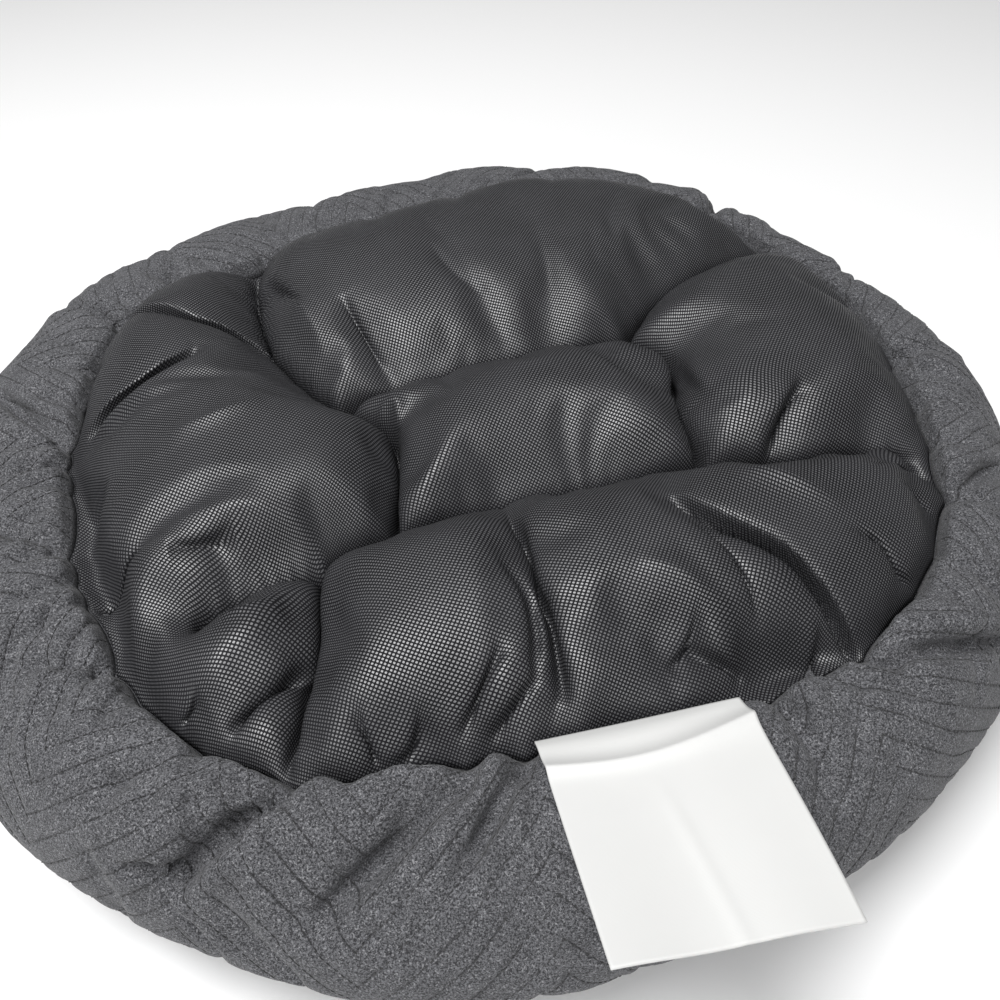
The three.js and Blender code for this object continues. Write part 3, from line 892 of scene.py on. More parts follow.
def sleeping_face(count, loop_angles):
    """Points of the hidden side, ring by ring, and of the sleeping face below."""
    radius = SLEEPING_RADIUS - CLOTH_GAP
    level = np.ones(len(loop_angles))
    high = np.column_stack([*seam_point(loop_angles, CLOTH_GAP), level * (BASE_SEAM - VALLEY)])
    low = np.column_stack([*polar(radius, loop_angles), level * SLEEPING_HEIGHT])
    side = blended(high, low, [step / SLEEPING_RINGS for step in range(1, SLEEPING_RINGS)])
    share, angle = disc_grid(count)
    x, y = polar(share * radius, angle)
    ripple = 1.2 * np.sin(angle * math.pi / 180 * 17 + 1) * smooth_step(share, 0.8, 0.97)
    ripple *= 1 - smooth_step(share, 0.97, 1.0)
    hollow = SLEEPING_SAG * (1.3 - share**2) + 0.8 * np.sin(x / 41 + 1) * np.sin(y / 37)
    z = SLEEPING_HEIGHT - hollow * (1 - smooth_step(share, 0.86, 1.0)) + ripple
    z = np.where(share > 0.999, SLEEPING_HEIGHT, z)
    return np.vstack([*side, np.column_stack([x, y, z])])


def capped(move, cap):
    """Moves that level off smoothly at a cap for every point."""
    far = np.linalg.norm(move, axis=-1, keepdims=True)
    cap = np.asarray(cap)[..., None]
    return move * cap * np.tanh(far / cap) / np.maximum(far, 1e-6)


def creased(points):
    """Points of the upper face with its creases pressed in and pinched, and ridges raised."""
    x, y = points[:, 0], points[:, 1]
    move = np.zeros_like(points)
    lines = [(smooth_rows(path, 5), width, depth) for path, width, depth in CREASES]
    lines += [(path, *CHANNEL_PRESS) for path in CHANNEL_PATHS]
    for path, width, depth in lines:
        off, along, way, _ = path_nearest(x, y, path)
        fade = 0.1 + 0.9 * np.sin(math.pi * along) ** 0.8
        move[:, 2] -= depth * fade * np.exp(-((off / width) ** 1.3))
        if depth >= 5:
            reach = off / (2.5 + 0.3 * depth)
            pinch = 0.52 * depth * fade * reach**2 * np.exp(1 - reach**2) / np.maximum(off, 0.5)
            move[:, :2] += pinch[:, None] * way
    # The upper layer of a flap rises and leans over a narrow slot, and the lower one dips
    for path, width, depth in FLAPS:
        off, along, way, over = path_nearest(x, y, smooth_rows(path, 5))
        fade = depth * np.sin(math.pi * along) ** 0.85
        rise = 0.3 * np.exp(-((off / 14) ** 2))
        dip = 0.35 * np.exp(-((off / width) ** 1.3))
        slot = 2.2 * np.exp(-((off / 2.3) ** 2))
        move[:, 2] += fade * (np.where(over, rise, -dip) - slot)
        crest = 0.65 * fade * np.exp(-(((off - 5) / 2.4) ** 2))
        lean = np.where(over, crest / np.maximum(off, 1), 0)
        move[:, :2] += lean[:, None] * way
    return points + move * smooth_step(inside_seam(points), 0, 9)[:, None]


def filled_sheet(settings, faces):
    """The upper face after the filling swells it, and which of its points are sewn down."""
    sheet, pinned = cushion_sheet(settings.grid, settings)
    slack = sheet.copy()
    slack[:, 2] = BASE_SEAM + (sheet[:, 2] - BASE_SEAM) * np.where(pinned, 1, settings.start)
    move = inflate(slack, faces, pinned, settings) - sheet
    free = 0.12 + 0.88 * smooth_step(inside_seam(sheet), 2, 30)
    sheet = sheet + capped(move, settings.movement_cap / MM * free)
    sheet = averaged(sheet, grid_edges(settings.grid), 0.4, pinned, rounds=5)
    return sheet, pinned


def finer_cloth(sheet, faces, cloth):
    """The sheet with twice the faces each way: its points, its quads and their cloth corners."""
    upper = mesh_object("upper_face", sheet, faces)
    set_corner_uvs(upper, cloth)
    finer = upper.modifiers.new("finer", "SUBSURF")
    finer.levels = finer.render_levels = 1
    finer.boundary_smooth = "PRESERVE_CORNERS"
    fine = bpy.data.meshes.new_from_object(evaluated(upper))
    bpy.data.objects.remove(upper)
    return (read_out(fine.vertices, "co", 3), np.array([tuple(p.vertices) for p in fine.polygons]),
            read_out(fine.uv_layers["cloth"].data, "uv", 2) / MM)


def make_base_cushion(settings):
    count = settings.grid
    faces = grid_faces(count + 1, count + 1)
    sheet, pinned = filled_sheet(settings, faces)
    # The cloth's coordinates come from the smoothed sheet, laid flat and parted at the channels
    smooth = averaged(sheet, grid_edges(count), 0.5, pinned, rounds=8)
    cut = pinned.copy()
    cut[border_loop(count)] = False
    cloth = lay_flat(smooth, faces, cut_corners(faces, cut), smooth[faces][..., :2], rounds=400)
    top, quads, cloth = finer_cloth(sheet, faces, cloth)
    top = creased(top)
    # On the finer cloth, corners at one point and one place in the cloth stay joined
    seen = np.column_stack([quads.ravel(), np.round(cloth * 100)])
    corner = np.unique(seen, axis=0, return_inverse=True)[1].reshape(quads.shape)
    return top, quads, lay_flat(top, quads, corner, cloth, rounds=150).reshape(-1, 2)


def ordered_border(points, quads):
    """The border's points in order, counter-clockwise in plan, starting nearest +X."""
    edges = {}
    for quad in quads:
        for a, b in zip(quad, np.roll(quad, -1)):
            if (b, a) in edges:
                del edges[(b, a)]
            else:
                edges[(a, b)] = True
    after = {a: b for a, b in edges}
    first = next(iter(after))
    loop = [first]
    while after[loop[-1]] != first:
        loop.append(after[loop[-1]])
    loop = np.array(loop)
    turn = np.arctan2(points[loop, 1], points[loop, 0])
    if np.unwrap(turn)[-1] < turn[0]:
        loop, turn = loop[::-1], turn[::-1]
    return np.roll(loop, -np.argmin(np.abs(turn)))


def close_cushion(top, quads, cloth):
    """Adds the hidden side and the sleeping face to the upper face."""
    loop = ordered_border(top, quads)
    every = 4  # the hidden side has one face to this many of the upper face
    coarse = loop[::every]
    ring = len(coarse)
    count = ring // 4
    angles = plan_angle(top[coarse, 0], top[coarse, 1])
    points = np.vstack([top, sleeping_face(count, angles)])
    rings = (len(top) + np.arange((SLEEPING_RINGS - 1) * ring).reshape(-1, ring)).tolist()
    disc_start = len(top) + (SLEEPING_RINGS - 1) * ring
    border = disc_start + border_loop(count)
    turn = angle_between(plan_angle(points[border, 0], points[border, 1]), angles[0])
    rings.append(np.roll(border, -np.argmin(np.abs(turn))).tolist())
    faces = [tuple(q) for q in quads]
    for i in range(ring):
        after = (i + 1) % ring
        arc = [loop[(i * every + k) % len(loop)] for k in range(every + 1)]
        owners = [rings[0][i]] * (every // 2) + [rings[0][after]] * (every // 2)
        faces += [(b, a, owner) for a, b, owner in zip(arc, arc[1:], owners)]
        faces.append((arc[every // 2], rings[0][i], rings[0][after]))
    for upper_ring, lower_ring in zip(rings[:-1], rings[1:]):
        for i in range(ring):
            after = (i + 1) % ring
            faces.append((upper_ring[i], lower_ring[i], lower_ring[after], upper_ring[after]))
    faces += [tuple(quad[::-1]) for quad in grid_faces(count + 1, count + 1) + disc_start]
    kinds = [0] * len(quads) + [1] * (len(faces) - len(quads))
    hidden = np.concatenate([np.array(face) for face in faces[len(quads):]])
    return points, faces, kinds, np.vstack([cloth, points[hidden, :2]])


# Rim


def wrinkle_depth(wrinkles, angle, share, radius, length, sharp):
    """How far wrinkles press in over a panel: their soft sides, or their sharp middle."""
    depth = np.zeros(np.broadcast(angle, share).shape)
    for turn, from_share, to_turn, to_share, width, deep in wrinkles:
        across = angle_between(to_turn, turn) * np.radians(radius)
        down = (to_share - from_share) * length
        x = angle_between(angle, turn) * np.radians(radius)
        y = (share - from_share) * length
        run = np.hypot(across, down)
        along = np.clip((x * across + y * down) / run, 0, run)
        off = np.hypot(x - across * along / run, y - down * along / run)
        fade = np.sin(math.pi * (0.15 + 0.7 * along / run))
        if sharp:
            depth += (1.2 + 0.6 * deep) * fade * np.exp(-off / 2.4)
        else:
            beside = off * np.sign(x * down - y * across)
            depth += deep * fade * (np.exp(-((off / width) ** 1.3))
                                    - 0.4 * np.exp(-((beside / width - 1.2) ** 2)))
    return depth


def gather_depth(angle, share, gathers, deep):
    """Gathers that run out from a seam and die away."""
    depth = np.zeros(np.broadcast(angle, share).shape)
    for place, strength, width, reach, lean in gathers:
        off = angle_between(angle, place + lean * share)
        fade = np.clip(1 - share / reach, 0, 1) ** 1.4 * smooth_step(share, 0.0, 0.03)
        depth += deep * strength * fade * np.exp(-((off / width) ** 2))
    return depth


def random_wrinkles(seed, count):
    """Short wrinkles strewn over a panel."""
    random = np.random.default_rng(seed)
    wrinkles = []
    for _ in range(count):
        turn, share = random.uniform(0, 360), random.uniform(0.02, 0.55)
        wrinkles.append((turn, share, turn + random.uniform(-6, 6),
                         share + random.uniform(0.07, 0.26),
                         random.uniform(3, 6.5), random.uniform(1.2, 3.6)))
    return wrinkles


def random_gathers(seed, count, reach):
    random = np.random.default_rng(seed)
    return [(random.uniform(0, 360), random.uniform(0.3, 1.0), random.uniform(0.8, 2.0),
             random.uniform(0.3, 1.0) * reach, random.uniform(-10, 10)) for _ in range(count)]


def section_normals(section):
    """Normals of sections of radius and height, to the right of their run."""
    slope = np.gradient(section, axis=1)
    slope /= np.maximum(np.linalg.norm(slope, axis=2, keepdims=True), 1e-9)
    return np.stack([slope[..., 1], -slope[..., 0]], -1)


def turned(section, angle):
    """Points of sections of radius and height, set round the middle at their angles."""
    return np.stack([*polar(section[..., 0], angle), section[..., 1]], -1)


def quilted_grid(columns, rows):
    """Points of the quilted panel before the filling swells it, and its length."""
    angle = np.arange(columns) * 360 / columns
    share = np.linspace(0, 1, rows + 1)
    seam = seam_radius(angle)
    width = around_plan("outer", angle) - seam
    lines = [evened(SMOOTH_SECTION * [across, 1] + [start, 0], share)
             for start, across in zip(seam, width)]
    section = np.array([points for points, _ in lines])
    length = np.array([run for _, run in lines])
    a, s = np.meshgrid(angle, share, indexing="ij")
    turn = np.radians(a)
    press = wrinkle_depth(RIM_WRINKLES + random_wrinkles(*STREWN_WRINKLES), a, s,
                          (seam + width / 2)[:, None], length[:, None], sharp=False)
    press += gather_depth(a, s, GATHERS, 6.5)
    press += gather_depth(a, 1 - s, random_gathers(*LOWER_GATHERS), 1.4)
    slow = (1.5 * np.sin(5 * turn + 3 * s + 0.4) + 1.1 * np.sin(9 * turn - 4 * s + 2)
            + 0.8 * np.sin(16 * turn + 6 * s))
    press -= slow * plateau(s, (0.0, 0.3), (0.75, 1.0))
    press *= plateau(s, (0.0, 0.05), (0.96, 1.0))
    section += section_normals(section) * press[..., None]
    section[..., 1] -= VALLEY * np.clip(1 - s / 0.07, 0, 1) ** 2
    under_label = np.exp(-((angle_between(a, LABEL_ANGLE) / LABEL_SPREAD) ** 2))
    lip = LIP * (1 - under_label) * np.exp(-(((s - 0.06) / 0.035) ** 2)) * smooth_step(s, 0, 0.03)
    section[..., 0] -= lip
    return turned(section, a), float(length.mean())


def grid_normals(points):
    """Outward normals of a panel that closes on itself along the first axis."""
    around = np.roll(points, -1, 0) - np.roll(points, 1, 0)
    down = np.gradient(points, axis=1)
    normal = np.cross(down, around)
    normal /= np.linalg.norm(normal, axis=2, keepdims=True)
    return normal


def quilted_panel(settings):
    """Fine points of the quilted panel, swollen by its filling."""
    columns, rows = settings.columns, settings.rows
    points, length = quilted_grid(columns, rows)
    flat = points.reshape(-1, 3)
    row = np.tile(np.arange(rows + 1), columns)
    ring = grid_faces(columns, rows + 1, closed=True)[:, ::-1]
    move = inflate(flat, ring, (row == 0) | (row == rows), settings) - flat
    free = 0.15 + 0.85 * plateau(row / rows, (0.02, 0.22), (0.85, 1))
    points = (flat + capped(move, settings.movement_cap / MM * free)).reshape(points.shape)
    fine = refined(points, 2, closed=True)
    fine = refined(fine.swapaxes(0, 1), 2).swapaxes(0, 1)
    angle = np.arange(2 * columns)[:, None] * 180 / columns
    share = np.linspace(0, 1, 2 * rows + 1)[None]
    turn = np.abs((angle - CHEVRON_TIP) / CHEVRON_ANGLE % 1.0 - 0.5)
    place = share * PANEL_ROWS + (0.5 - turn) * 2 * HALF_CHEVRON_ROWS
    off = np.abs(place % 2 - 1)
    press = settings.quilt_depth / MM * (np.exp(-((off / 0.26) ** 2))
                                         - 0.3 * np.sin(math.pi / 2 * off))
    radius = (seam_radius(angle) + around_plan("outer", angle)) / 2
    press = press + wrinkle_depth(RIM_WRINKLES + RIM_CREASES, angle, share, radius, length,
                                  sharp=True)
    press *= plateau(share, (0.0, 0.05), (0.96, 1.0))
    return fine - grid_normals(fine) * press[..., None], length


def ring_faces(columns, size):
    """Quads of a ring whose cross-section closes on itself."""
    index = np.arange(columns * size).reshape(columns, size)
    after = np.roll(index, -1, 0)
    return np.stack([index, np.roll(index, -1, 1), np.roll(after, -1, 1), after],
                    -1).reshape(-1, 4)


def close_rim_outer(points):
    """Adds the hidden face, straight back from the lower seam to the base seam."""
    return np.concatenate([points, *blended(points[:, -1:], points[:, :1], (0.25, 0.5, 0.75))], 1)


def ring_uvs(columns, size, rows, circumference, length):
    """Cloth coordinates per face corner of a ring: round it, and down the visible panel."""
    column, row = np.meshgrid(np.arange(columns), np.arange(size), indexing="ij")
    u = np.stack([column, column, column + 1, column + 1], -1) * circumference / columns
    v = np.stack([row, row + 1, row + 1, row], -1) * length / rows
    return np.stack([u, v], -1).reshape(-1, 2)


def ring_object(name, ring, rows, circumference, length, material):
    columns, size = ring.shape[:2]
    return cloth_object(name, ring.reshape(-1, 3), ring_faces(columns, size),
                        ring_uvs(columns, size, rows, circumference, length), material)


def inner_surface(angle, along):
    """Sections of the plain panel, from the lower seam under the rim to the sleeping face."""
    seam = around_plan("seam", angle)
    outer = around_plan("outer", angle)
    spread = outer - np.mean(PLAN_STATIONS["outer"])
    edge = seam + QUILTED_SECTION[-1][0] * (outer - seam)
    sections = []
    for start, wider in zip(edge, spread):
        line = [(start, LOWER_SEAM - CLOTH_GAP)]
        line += [(radius + wider * float(smooth_step(radius, 226, 278)), height)
                 for radius, height in INNER_SECTION]
        curve = smooth_rows(line, 8)
        curve[:, 1] = np.maximum(curve[:, 1], 0)
        sections.append(evened(curve, along)[0])
    return np.array(sections)


def make_rim_inner(settings):
    columns = settings.inner_columns
    angle = np.arange(columns) * 360 / columns
    along = np.linspace(0, 1, settings.inner_rows + 1)
    section = inner_surface(angle, along)
    a, s = np.meshgrid(angle, along, indexing="ij")
    turn = np.radians(a)
    press = gather_depth(a, s, random_gathers(*PLAIN_SEAM_GATHERS), 1.6)
    press += gather_depth(a, 1 - s, random_gathers(*PLAIN_FACE_GATHERS), 2.6)
    press += 0.9 * np.sin(7 * turn + 4 * s) + 0.7 * np.sin(13 * turn - 5 * s + 1)
    press *= plateau(s, (0.0, 0.06), (0.94, 1.0))
    section += section_normals(section) * press[..., None]
    section[..., 1] = np.maximum(section[..., 1], 0.0)
    points = turned(section, a)
    hidden = np.column_stack([
        *seam_point(angle), np.full(columns, BASE_SEAM - VALLEY - CLOTH_GAP)])[:, None]
    side = blended(points[:, -1:], hidden, (0.34, 0.67))
    back = blended(hidden, points[:, :1], (0.25, 0.5, 0.75))
    return np.concatenate([points, *side, hidden, *back], 1)


# Stitches


def stitch_mesh(length, thickness):
    """One stitch: a short thread whose ends dip into the cloth."""
    points = []
    for along, wide, up in STITCH_RINGS:
        for side in range(STITCH_SIDES):
            turn = 2 * math.pi * (side + 0.5) / STITCH_SIDES
            points.append((along * length, math.cos(turn) * wide * thickness / 2,
                           math.sin(turn) * wide * thickness / 2 + up * thickness / 2))
    ring = np.arange(STITCH_SIDES)
    last = (len(STITCH_RINGS) - 1) * STITCH_SIDES
    faces = []
    for start in range(0, last, STITCH_SIDES):
        for side in ring:
            after = (side + 1) % STITCH_SIDES
            faces.append((start + side, start + after, start + STITCH_SIDES + after,
                          start + STITCH_SIDES + side))
    piece = mesh_object("one_stitch", points, faces + [ring[::-1], ring + last])
    face_outward(piece)
    return piece


def stitch_tree(material):
    """Geometry Nodes that set stitches along curves at an even spacing."""
    tree = bpy.data.node_groups.new("stitches", "GeometryNodeTree")
    for name, kind in (("Geometry", "Geometry"), ("Stitch", "Object"), ("Spacing", "Float"),
                       ("Unevenness", "Float"), ("Seed", "Int")):
        tree.interface.new_socket(name, in_out="INPUT", socket_type="NodeSocket" + kind)
    tree.interface.new_socket("Geometry", in_out="OUTPUT", socket_type="NodeSocketGeometry")

    def add(kind, fed, **settings):
        """Adds a node with what feeds its inputs, sockets or values, and gives its outputs."""
        node = tree.nodes.new(kind)
        for key, setting in settings.items():
            setattr(node, key, setting)
        for key, given in fed.items():
            if isinstance(given, bpy.types.NodeSocket):
                tree.links.new(given, node.inputs[key])
            else:
                node.inputs[key].default_value = given
        return node.outputs

    given = add("NodeGroupInput", {})
    curve = add("GeometryNodeMeshToCurve", {"Mesh": given["Geometry"]})
    places = add("GeometryNodeCurveToPoints",
                 {"Curve": curve["Curve"], "Length": given["Spacing"]}, mode="LENGTH")
    stitch = add("GeometryNodeObjectInfo", {"Object": given["Stitch"]})
    normal = add("GeometryNodeInputNamedAttribute", {"Name": "cloth_normal"},
                 data_type="FLOAT_VECTOR")
    least = add("ShaderNodeMath", {0: given["Unevenness"], 1: -1.0}, operation="MULTIPLY")
    lean = add("FunctionNodeRandomValue",
               {"Seed": given["Seed"], 0: least[0], 1: given["Unevenness"]},
               data_type="FLOAT_VECTOR")
    tilt = add("ShaderNodeVectorMath", {0: places["Tangent"], 1: lean[0]}, operation="ADD")
    turn = add("FunctionNodeAlignRotationToVector", {"Vector": tilt[0]}, axis="X")
    roll = add("FunctionNodeAlignRotationToVector",
               {"Rotation": turn[0], "Vector": normal[0]}, axis="Z", pivot_axis="X")
    sewn = add("GeometryNodeInstanceOnPoints",
               {"Points": places["Points"], "Instance": stitch["Geometry"], "Rotation": roll[0]})
    real = add("GeometryNodeRealizeInstances", {0: sewn[0]})
    dyed = add("GeometryNodeSetMaterial", {"Geometry": real[0], "Material": material})
    add("NodeGroupOutput", {"Geometry": dyed[0]})
    return tree


def stitch_lines(name, lines, normals, material, settings):
    """A mesh of stitches along lines of points in millimetres."""
    starts = np.cumsum([0] + [len(line) for line in lines[:-1]])
    edges = [(int(start + i), int(start + i + 1))
             for start, line in zip(starts, lines) for i in range(len(line) - 1)]
    mesh = bpy.data.meshes.new(name + "_lines")
    mesh.from_pydata([tuple(p) for p in placed(np.vstack(lines))], edges, [])
    facing = mesh.attributes.new("cloth_normal", "FLOAT_VECTOR", "POINT")
    facing.data.foreach_set("vector", np.vstack(normals).astype(np.float32).ravel())
    holder = bpy.data.objects.new(name + "_lines", mesh)
    bpy.context.scene.collection.objects.link(holder)
    one = stitch_mesh(settings.stitch_length, settings.thread_width)
    tree = stitch_tree(material)
    modifier = holder.modifiers.new("stitches", "NODES")
    modifier.node_group = tree
    given = {"Stitch": one, "Spacing": settings.stitch_spacing,
             "Unevenness": STITCH_UNEVENNESS, "Seed": STITCH_SEED}
    for item in tree.interface.items_tree:
        if item.in_out == "INPUT" and item.name in given:
            modifier[item.identifier] = given[item.name]
    piece = bpy.data.objects.new(name, bpy.data.meshes.new_from_object(evaluated(holder)))
    bpy.data.objects.remove(holder)
    bpy.data.objects.remove(one)
    bpy.context.scene.collection.objects.link(piece)
    return piece


def panel_sample(grid, angle, share):
    """Values of a fine panel grid at angles in degrees and shares from seam to seam."""
    columns, rows = grid.shape[0], grid.shape[1] - 1
    a = np.asarray(angle) / 360 * columns
    s = np.asarray(share) * rows
    i, j = np.floor(a).astype(int), np.minimum(np.floor(s).astype(int), rows - 1)
    ta, ts = (a - i)[:, None], (s - j)[:, None]
    i, after = i % columns, (i + 1) % columns
    return ((grid[i, j] * (1 - ta) + grid[after, j] * ta) * (1 - ts)
            + (grid[i, j + 1] * (1 - ta) + grid[after, j + 1] * ta) * ts)


def quilt_lines(panel):
    """The chevron lines as points on the quilted panel, with the cloth's normals there."""
    lines, normals = [], []
    facing = grid_normals(panel)
    reach = np.linspace(0, 1, 60)
    for tip in CHEVRON_TIP + np.arange(0, 360, CHEVRON_ANGLE):
        for line in range(1, PANEL_ROWS + HALF_CHEVRON_ROWS, 2):
            share = (line - reach * HALF_CHEVRON_ROWS) / PANEL_ROWS
            inside = (share > 0.015) & (share < 0.985)
            if inside.sum() < 4:
                continue
            for side in (-1, 1):
                angle = tip + side * reach[inside] * CHEVRON_ANGLE / 2
                normal = panel_sample(facing, angle, share[inside])
                lines.append(panel_sample(panel, angle, share[inside]) + 0.1 * normal)
                normals.append(normal)
    return lines, normals


# Label


def label_sheet(along, side, width):
    """Points of the label's lower face, from the seam out and from its left edge across."""
    curve = smooth_rows(LABEL_LINE, 10)
    height = np.interp(along, curve[:, 0], curve[:, 1])
    a, s = np.meshgrid(along, side, indexing="ij")
    heading = math.radians(LABEL_HEADING)
    ux, uy = math.cos(heading), math.sin(heading)
    x = LABEL_ROOT[0] + a * ux - s * width * uy
    y = LABEL_ROOT[1] + a * uy + s * width * ux
    t = a / along[-1]
    z = height[:, None] - LABEL_DROOP * s * t**2 + 0.8 * np.sin(3 * math.pi * s + 1) * t
    # A soft fold across, near the seam, and a faint crease along
    fold = 15 + 7 * np.sin(math.pi * (s * 0.9 + 0.1)) - 3 * s
    z += 2.2 * np.exp(-((np.abs(a - fold) / 2.8) ** 1.4))
    z -= 1.2 * np.exp(-(((a - fold + 7) / 5) ** 2))
    z += 2.2 * s**2 * np.exp(-a / 12)
    crease = 0.42 + 0.1 * t
    z += 0.45 * np.exp(-(((s - crease) / 0.035) ** 2)) * smooth_step(t, 0.25, 0.6)
    return np.stack([x, y, z], -1).reshape(-1, 3), np.stack([s * width, a], -1).reshape(-1, 2)


def make_label(settings):
    """Points, faces and cloth coordinates of the closed label."""
    rows, columns = (faces + 1 for faces in LABEL_FACES)
    along = np.linspace(0, LABEL_LINE[-1][0], rows)
    lower, run = label_sheet(along, np.linspace(0, 1, columns), settings.label_width / MM)
    level = grid_faces(rows, columns)
    border = np.concatenate([
        np.arange(columns - 1), np.arange(rows - 1) * columns + columns - 1,
        (rows - 1) * columns + np.arange(columns - 1, 0, -1), np.arange(rows - 1, 0, -1) * columns])
    after = np.roll(border, -1)
    above = rows * columns
    edge = np.stack([border, after, after + above, border + above], -1)
    faces = np.concatenate([level + above, level[:, ::-1], edge])
    points = np.vstack([lower, lower + [0, 0, settings.label_thickness / MM]])
    return points, faces, np.vstack([run, run])[faces]


# Settings


def number_field(name, description, default, **more):
    return FloatProperty(name=name, description=description, default=default, **more)


def length_field(name, description, default):
    return number_field(name, description, default, unit="LENGTH", precision=6)


def share_field(name, description, default):
    return number_field(name, description, default, subtype="FACTOR")


def count_field(name, description, default):
    return IntProperty(name=name, description=description, default=default)


def colour_field(name, description, default):
    return FloatVectorProperty(name=name, description=description, default=default,
                               subtype="COLOR")


class PetBedCushionSettings(bpy.types.PropertyGroup):
    """Sizes and colours of the base cushion"""

    crown_height: length_field("Crown", "Height of a full cell above the base seam", 0.033)
    channel_sink: length_field("Channel sink", "How far a sewn channel lies below the base seam", 0.008)
    shoulder_width: length_field("Shoulder", "From the base seam in to the full crown", 0.058)
    cell_shoulder: length_field("Cell shoulder", "From a channel out to the full crown", 0.039)
    movement_cap: length_field("Movement cap", "How far the filling may move the cloth", 0.012)
    spare_cloth: share_field("Spare cloth", "Share of cloth beyond the stretched shape", 0.045)
    start: share_field("Start", "Height at which the filling starts to swell", 0.9)
    pressure: number_field("Filling pressure", "Pressure under the cloth", 8.0)
    bending: number_field("Bending", "Stiffness of the cloth to bending", 4.0)
    frames: count_field("Steps", "Simulation steps", 26)
    grid: count_field("Grid", "Faces across the upper face", 150)
    point_pitch: length_field("Point pitch", "Spacing of the bonding points", 0.001416)
    point_turn: number_field("Point turn", "Turn of the lattice in degrees", 24.0)
    point_gloss: share_field("Point gloss", "Gloss of the bonding points", 1.0)
    cloth_dark: colour_field("Cloth, dark", "Darker tone of the cloth", (0.009, 0.009, 0.0104))
    cloth_light: colour_field("Cloth, light", "Lighter tone of the cloth", (0.017, 0.017, 0.0193))
    point_colour: colour_field("Bonding points", "Tone of the glossy points", (0.088, 0.088, 0.095))


class PetBedRimSettings(bpy.types.PropertyGroup):
    """Sizes and colours of the bolster rim"""

    columns: count_field("Columns", "Simulated faces round the rim", 600)
    rows: count_field("Rows", "Simulated faces from seam to seam", 40)
    movement_cap: length_field("Movement cap", "How far the filling may move the cloth", 0.006)
    spare_cloth: share_field("Spare cloth", "Share of cloth beyond the stretched shape", 0.035)
    pressure: number_field("Filling pressure", "Pressure under the cloth", 6.0)
    bending: number_field("Bending", "Stiffness of the cloth to bending", 3.0)
    frames: count_field("Steps", "Simulation steps", 18)
    inner_columns: count_field("Inner columns", "Faces round the plain panel", 720)
    inner_rows: count_field("Inner rows", "Faces across the plain panel", 72)
    quilt_depth: length_field("Quilting depth", "Depth of a quilting line", 0.0005)
    stitch_length: length_field("Stitch", "Length of one stitch", 0.0026)
    stitch_spacing: length_field("Stitch spacing", "From one stitch to the next", 0.0034)
    thread_width: length_field("Thread", "Thickness of the thread", 0.0005)
    jersey_dark: colour_field("Jersey, dark", "Dark fibres", (0.02, 0.02, 0.022))
    jersey_light: colour_field("Jersey, light", "Light fibres", (0.157, 0.158, 0.169))
    jersey_fleck: colour_field("Jersey flecks", "Palest fibres", (0.36, 0.36, 0.375))
    thread_colour: colour_field("Thread colour", "Quilting thread", (0.014, 0.014, 0.015))


class PetBedLabelSettings(bpy.types.PropertyGroup):
    """Sizes and colours of the care label"""

    label_width: length_field("Width", "Width of the label", 0.081)
    label_thickness: length_field("Thickness", "Thickness of the folded label", 0.0012)
    label_colour: colour_field("Label", "Label cloth", (0.675, 0.675, 0.664))
    label_shade: colour_field("Label, shaded", "Slightly duller label cloth", (0.635, 0.637, 0.63))


class PetBedStageSettings(bpy.types.PropertyGroup):
    """Floor and light"""

    floor_size: length_field("Floor", "Width of the floor", 8.0)
    floor_colour: colour_field("Floor colour", "Pale floor", (0.98, 0.98, 0.98))
    key_power: number_field("Key light", "Power of the key light", 35.0, unit="POWER")
    front_power: number_field("Front light", "Power of the front light", 17.5, unit="POWER")
    sky_strength: number_field("Sky", "Strength of the white surround", 0.2)


# Operators


class PETBED_OT_base_cushion(bpy.types.Operator):
    """Make the filled base cushion with its sewn channels"""

    bl_idname = "petbed.base_cushion"
    bl_label = "Base cushion"

    def execute(self, context):
        settings = context.scene.petbed_cushion
        rim = context.scene.petbed_rim
        top, quads, cloth = make_base_cushion(settings)
        points, faces, kinds, uvs = close_cushion(top, quads, cloth)
        piece = cloth_object(
            "base_cushion_cloth", points, faces, uvs, spunbond_material(settings),
            jersey_material("sleeping_face_jersey", rim.jersey_dark, rim.jersey_light,
                            rim.jersey_fleck))
        piece.data.polygons.foreach_set("material_index", kinds)
        piece.data.polygons.foreach_set("use_smooth", [kind == 0 for kind in kinds])
        own(piece)
        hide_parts("base_cushion")
        return {"FINISHED"}


class PETBED_OT_rim_outer(bpy.types.Operator):
    """Make the quilted panel of the rim and sew its chevrons"""

    bl_idname = "petbed.rim_outer"
    bl_label = "Quilted rim panel"

    def execute(self, context):
        settings = context.scene.petbed_rim
        panel, length = quilted_panel(settings)
        around = 2 * math.pi * QUILTED_ROUND
        material = jersey_material(
            "quilted_jersey", settings.jersey_dark, settings.jersey_light,
            settings.jersey_fleck, panel=(around * MM, length * MM))
        piece = ring_object("rim_outer_cloth", close_rim_outer(panel), 2 * settings.rows, around,
                            length, material)
        own(piece)
        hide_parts("rim_outer")
        thread = thread_material("quilting_thread", settings.thread_colour)
        lines, normals = quilt_lines(panel)
        stitches = stitch_lines("quilt_stitches", lines, normals, thread, settings)
        own(stitches)
        return {"FINISHED"}


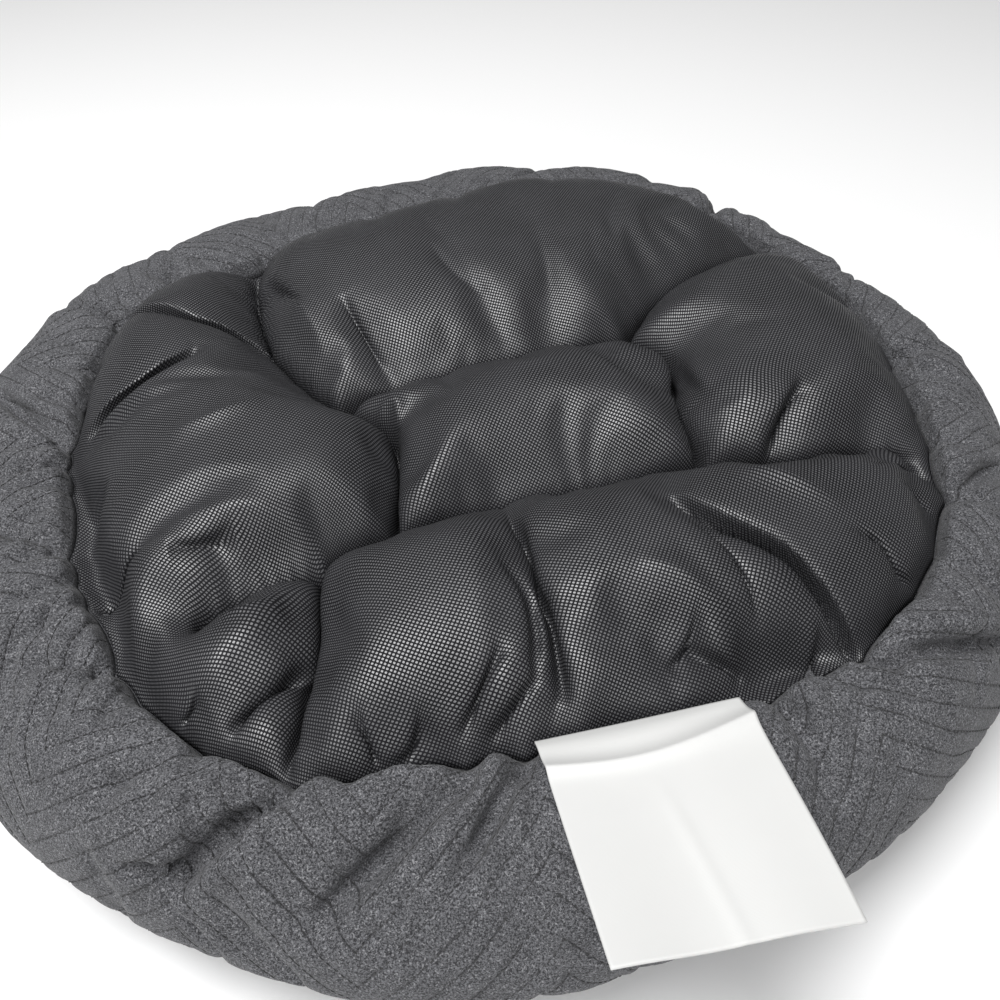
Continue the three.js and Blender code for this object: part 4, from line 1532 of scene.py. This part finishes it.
class PETBED_OT_rim_inner(bpy.types.Operator):
    """Make the plain panel under and inside the rim"""

    bl_idname = "petbed.rim_inner"
    bl_label = "Plain rim panel"

    def execute(self, context):
        settings = context.scene.petbed_rim
        # Painted shade: the plain panel takes the quilted jersey's tones darkened, for a panel lying in
        # shade under the rim
        material = jersey_material(
            "plain_jersey", [c * 0.85 for c in settings.jersey_dark],
            [c * 0.8 for c in settings.jersey_light], settings.jersey_light)
        piece = ring_object("rim_inner_cloth", make_rim_inner(settings), settings.inner_rows,
                            2 * math.pi * PLAIN_ROUND, PLAIN_LENGTH, material)
        own(piece)
        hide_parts("rim_inner")
        return {"FINISHED"}


class PETBED_OT_care_label(bpy.types.Operator):
    """Make the blank care label"""

    bl_idname = "petbed.care_label"
    bl_label = "Care label"

    def execute(self, context):
        settings = context.scene.petbed_label
        points, faces, uvs = make_label(settings)
        piece = cloth_object("care_label_cloth", points, faces, uvs, label_material(settings))
        own(piece)
        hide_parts("care_label")
        return {"FINISHED"}


class PETBED_OT_stage(bpy.types.Operator):
    """Set the floor, the lights and the camera"""

    bl_idname = "petbed.stage"
    bl_label = "Stage"

    def execute(self, context):
        settings = context.scene.petbed_stage
        reach = settings.floor_size / 2
        floor = mesh_object("floor", [(-reach, -reach, 0), (reach, -reach, 0),
                                      (reach, reach, 0), (-reach, reach, 0)], [(0, 1, 2, 3)])
        shader = Shader("pale_floor")
        floor.data.materials.append(shader.surface(
            Base_Color=colour(settings.floor_colour), Roughness=0.9, Specular_IOR_Level=0.2))
        world = bpy.data.worlds.new("white_surround")
        world.use_nodes = True
        sky = world.node_tree.nodes["Background"]
        sky.inputs["Color"].default_value = (1, 1, 1, 1)
        sky.inputs["Strength"].default_value = settings.sky_strength
        context.scene.world = world
        for name, place, size, power in LIGHTS:
            self.light(context, name, place, size, getattr(settings, power))
        self.camera(context)
        context.scene.view_settings.view_transform = "Standard"
        return {"FINISHED"}

    def light(self, context, name, place, size, power):
        lamp = bpy.data.lights.new(name, "AREA")
        lamp.size = size
        lamp.energy = power
        holder = bpy.data.objects.new(name, lamp)
        holder.location = place
        holder.rotation_euler = (-Vector(place)).to_track_quat("-Z", "Y").to_euler()
        context.scene.collection.objects.link(holder)

    def camera(self, context):
        yaw, pitch, roll = (math.radians(a) for a in (CAMERA_YAW, CAMERA_PITCH, CAMERA_ROLL))
        side = Vector((math.cos(yaw), math.sin(yaw), 0))
        away = Vector((-math.sin(yaw), math.cos(yaw), 0))
        up = Vector((0, 0, 1))
        forward = away * math.cos(pitch) - up * math.sin(pitch)
        over = away * math.sin(pitch) + up * math.cos(pitch)
        right = side * math.cos(roll) + over * math.sin(roll)
        top = over * math.cos(roll) - side * math.sin(roll)
        lens = bpy.data.cameras.new("camera")
        lens.sensor_width = 36.0
        lens.lens = CAMERA_LENS
        lens.clip_start = 0.01
        camera = bpy.data.objects.new("camera", lens)
        turn = Matrix((right, top, -forward)).transposed().to_4x4()
        camera.matrix_world = Matrix.Translation(Vector(placed(CAMERA_PLACE))) @ turn
        context.scene.collection.objects.link(camera)
        context.scene.camera = camera


class PETBED_PT_panel(bpy.types.Panel):
    """Pieces of the pet bed"""

    bl_label = "Pet bed"
    bl_space_type = "VIEW_3D"
    bl_region_type = "UI"
    bl_category = "Pet bed"

    def draw(self, context):
        for operator in OPERATORS:
            self.layout.operator(operator.bl_idname)


OPERATORS = (PETBED_OT_stage, PETBED_OT_base_cushion, PETBED_OT_rim_outer, PETBED_OT_rim_inner,
             PETBED_OT_care_label)
SETTINGS = {"petbed_cushion": PetBedCushionSettings, "petbed_rim": PetBedRimSettings,
            "petbed_label": PetBedLabelSettings, "petbed_stage": PetBedStageSettings}


def register():
    for group in (*SETTINGS.values(), *OPERATORS, PETBED_PT_panel):
        bpy.utils.register_class(group)
    for name, group in SETTINGS.items():
        setattr(bpy.types.Scene, name, PointerProperty(type=group))


def unregister():
    for name in SETTINGS:
        delattr(bpy.types.Scene, name)
    for group in reversed((*SETTINGS.values(), *OPERATORS, PETBED_PT_panel)):
        bpy.utils.unregister_class(group)


def main():
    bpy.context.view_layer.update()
    register()
    for operator in OPERATORS:
        getattr(bpy.ops.petbed, operator.bl_idname.split(".")[1])()


if __name__ == "__main__":
    main()
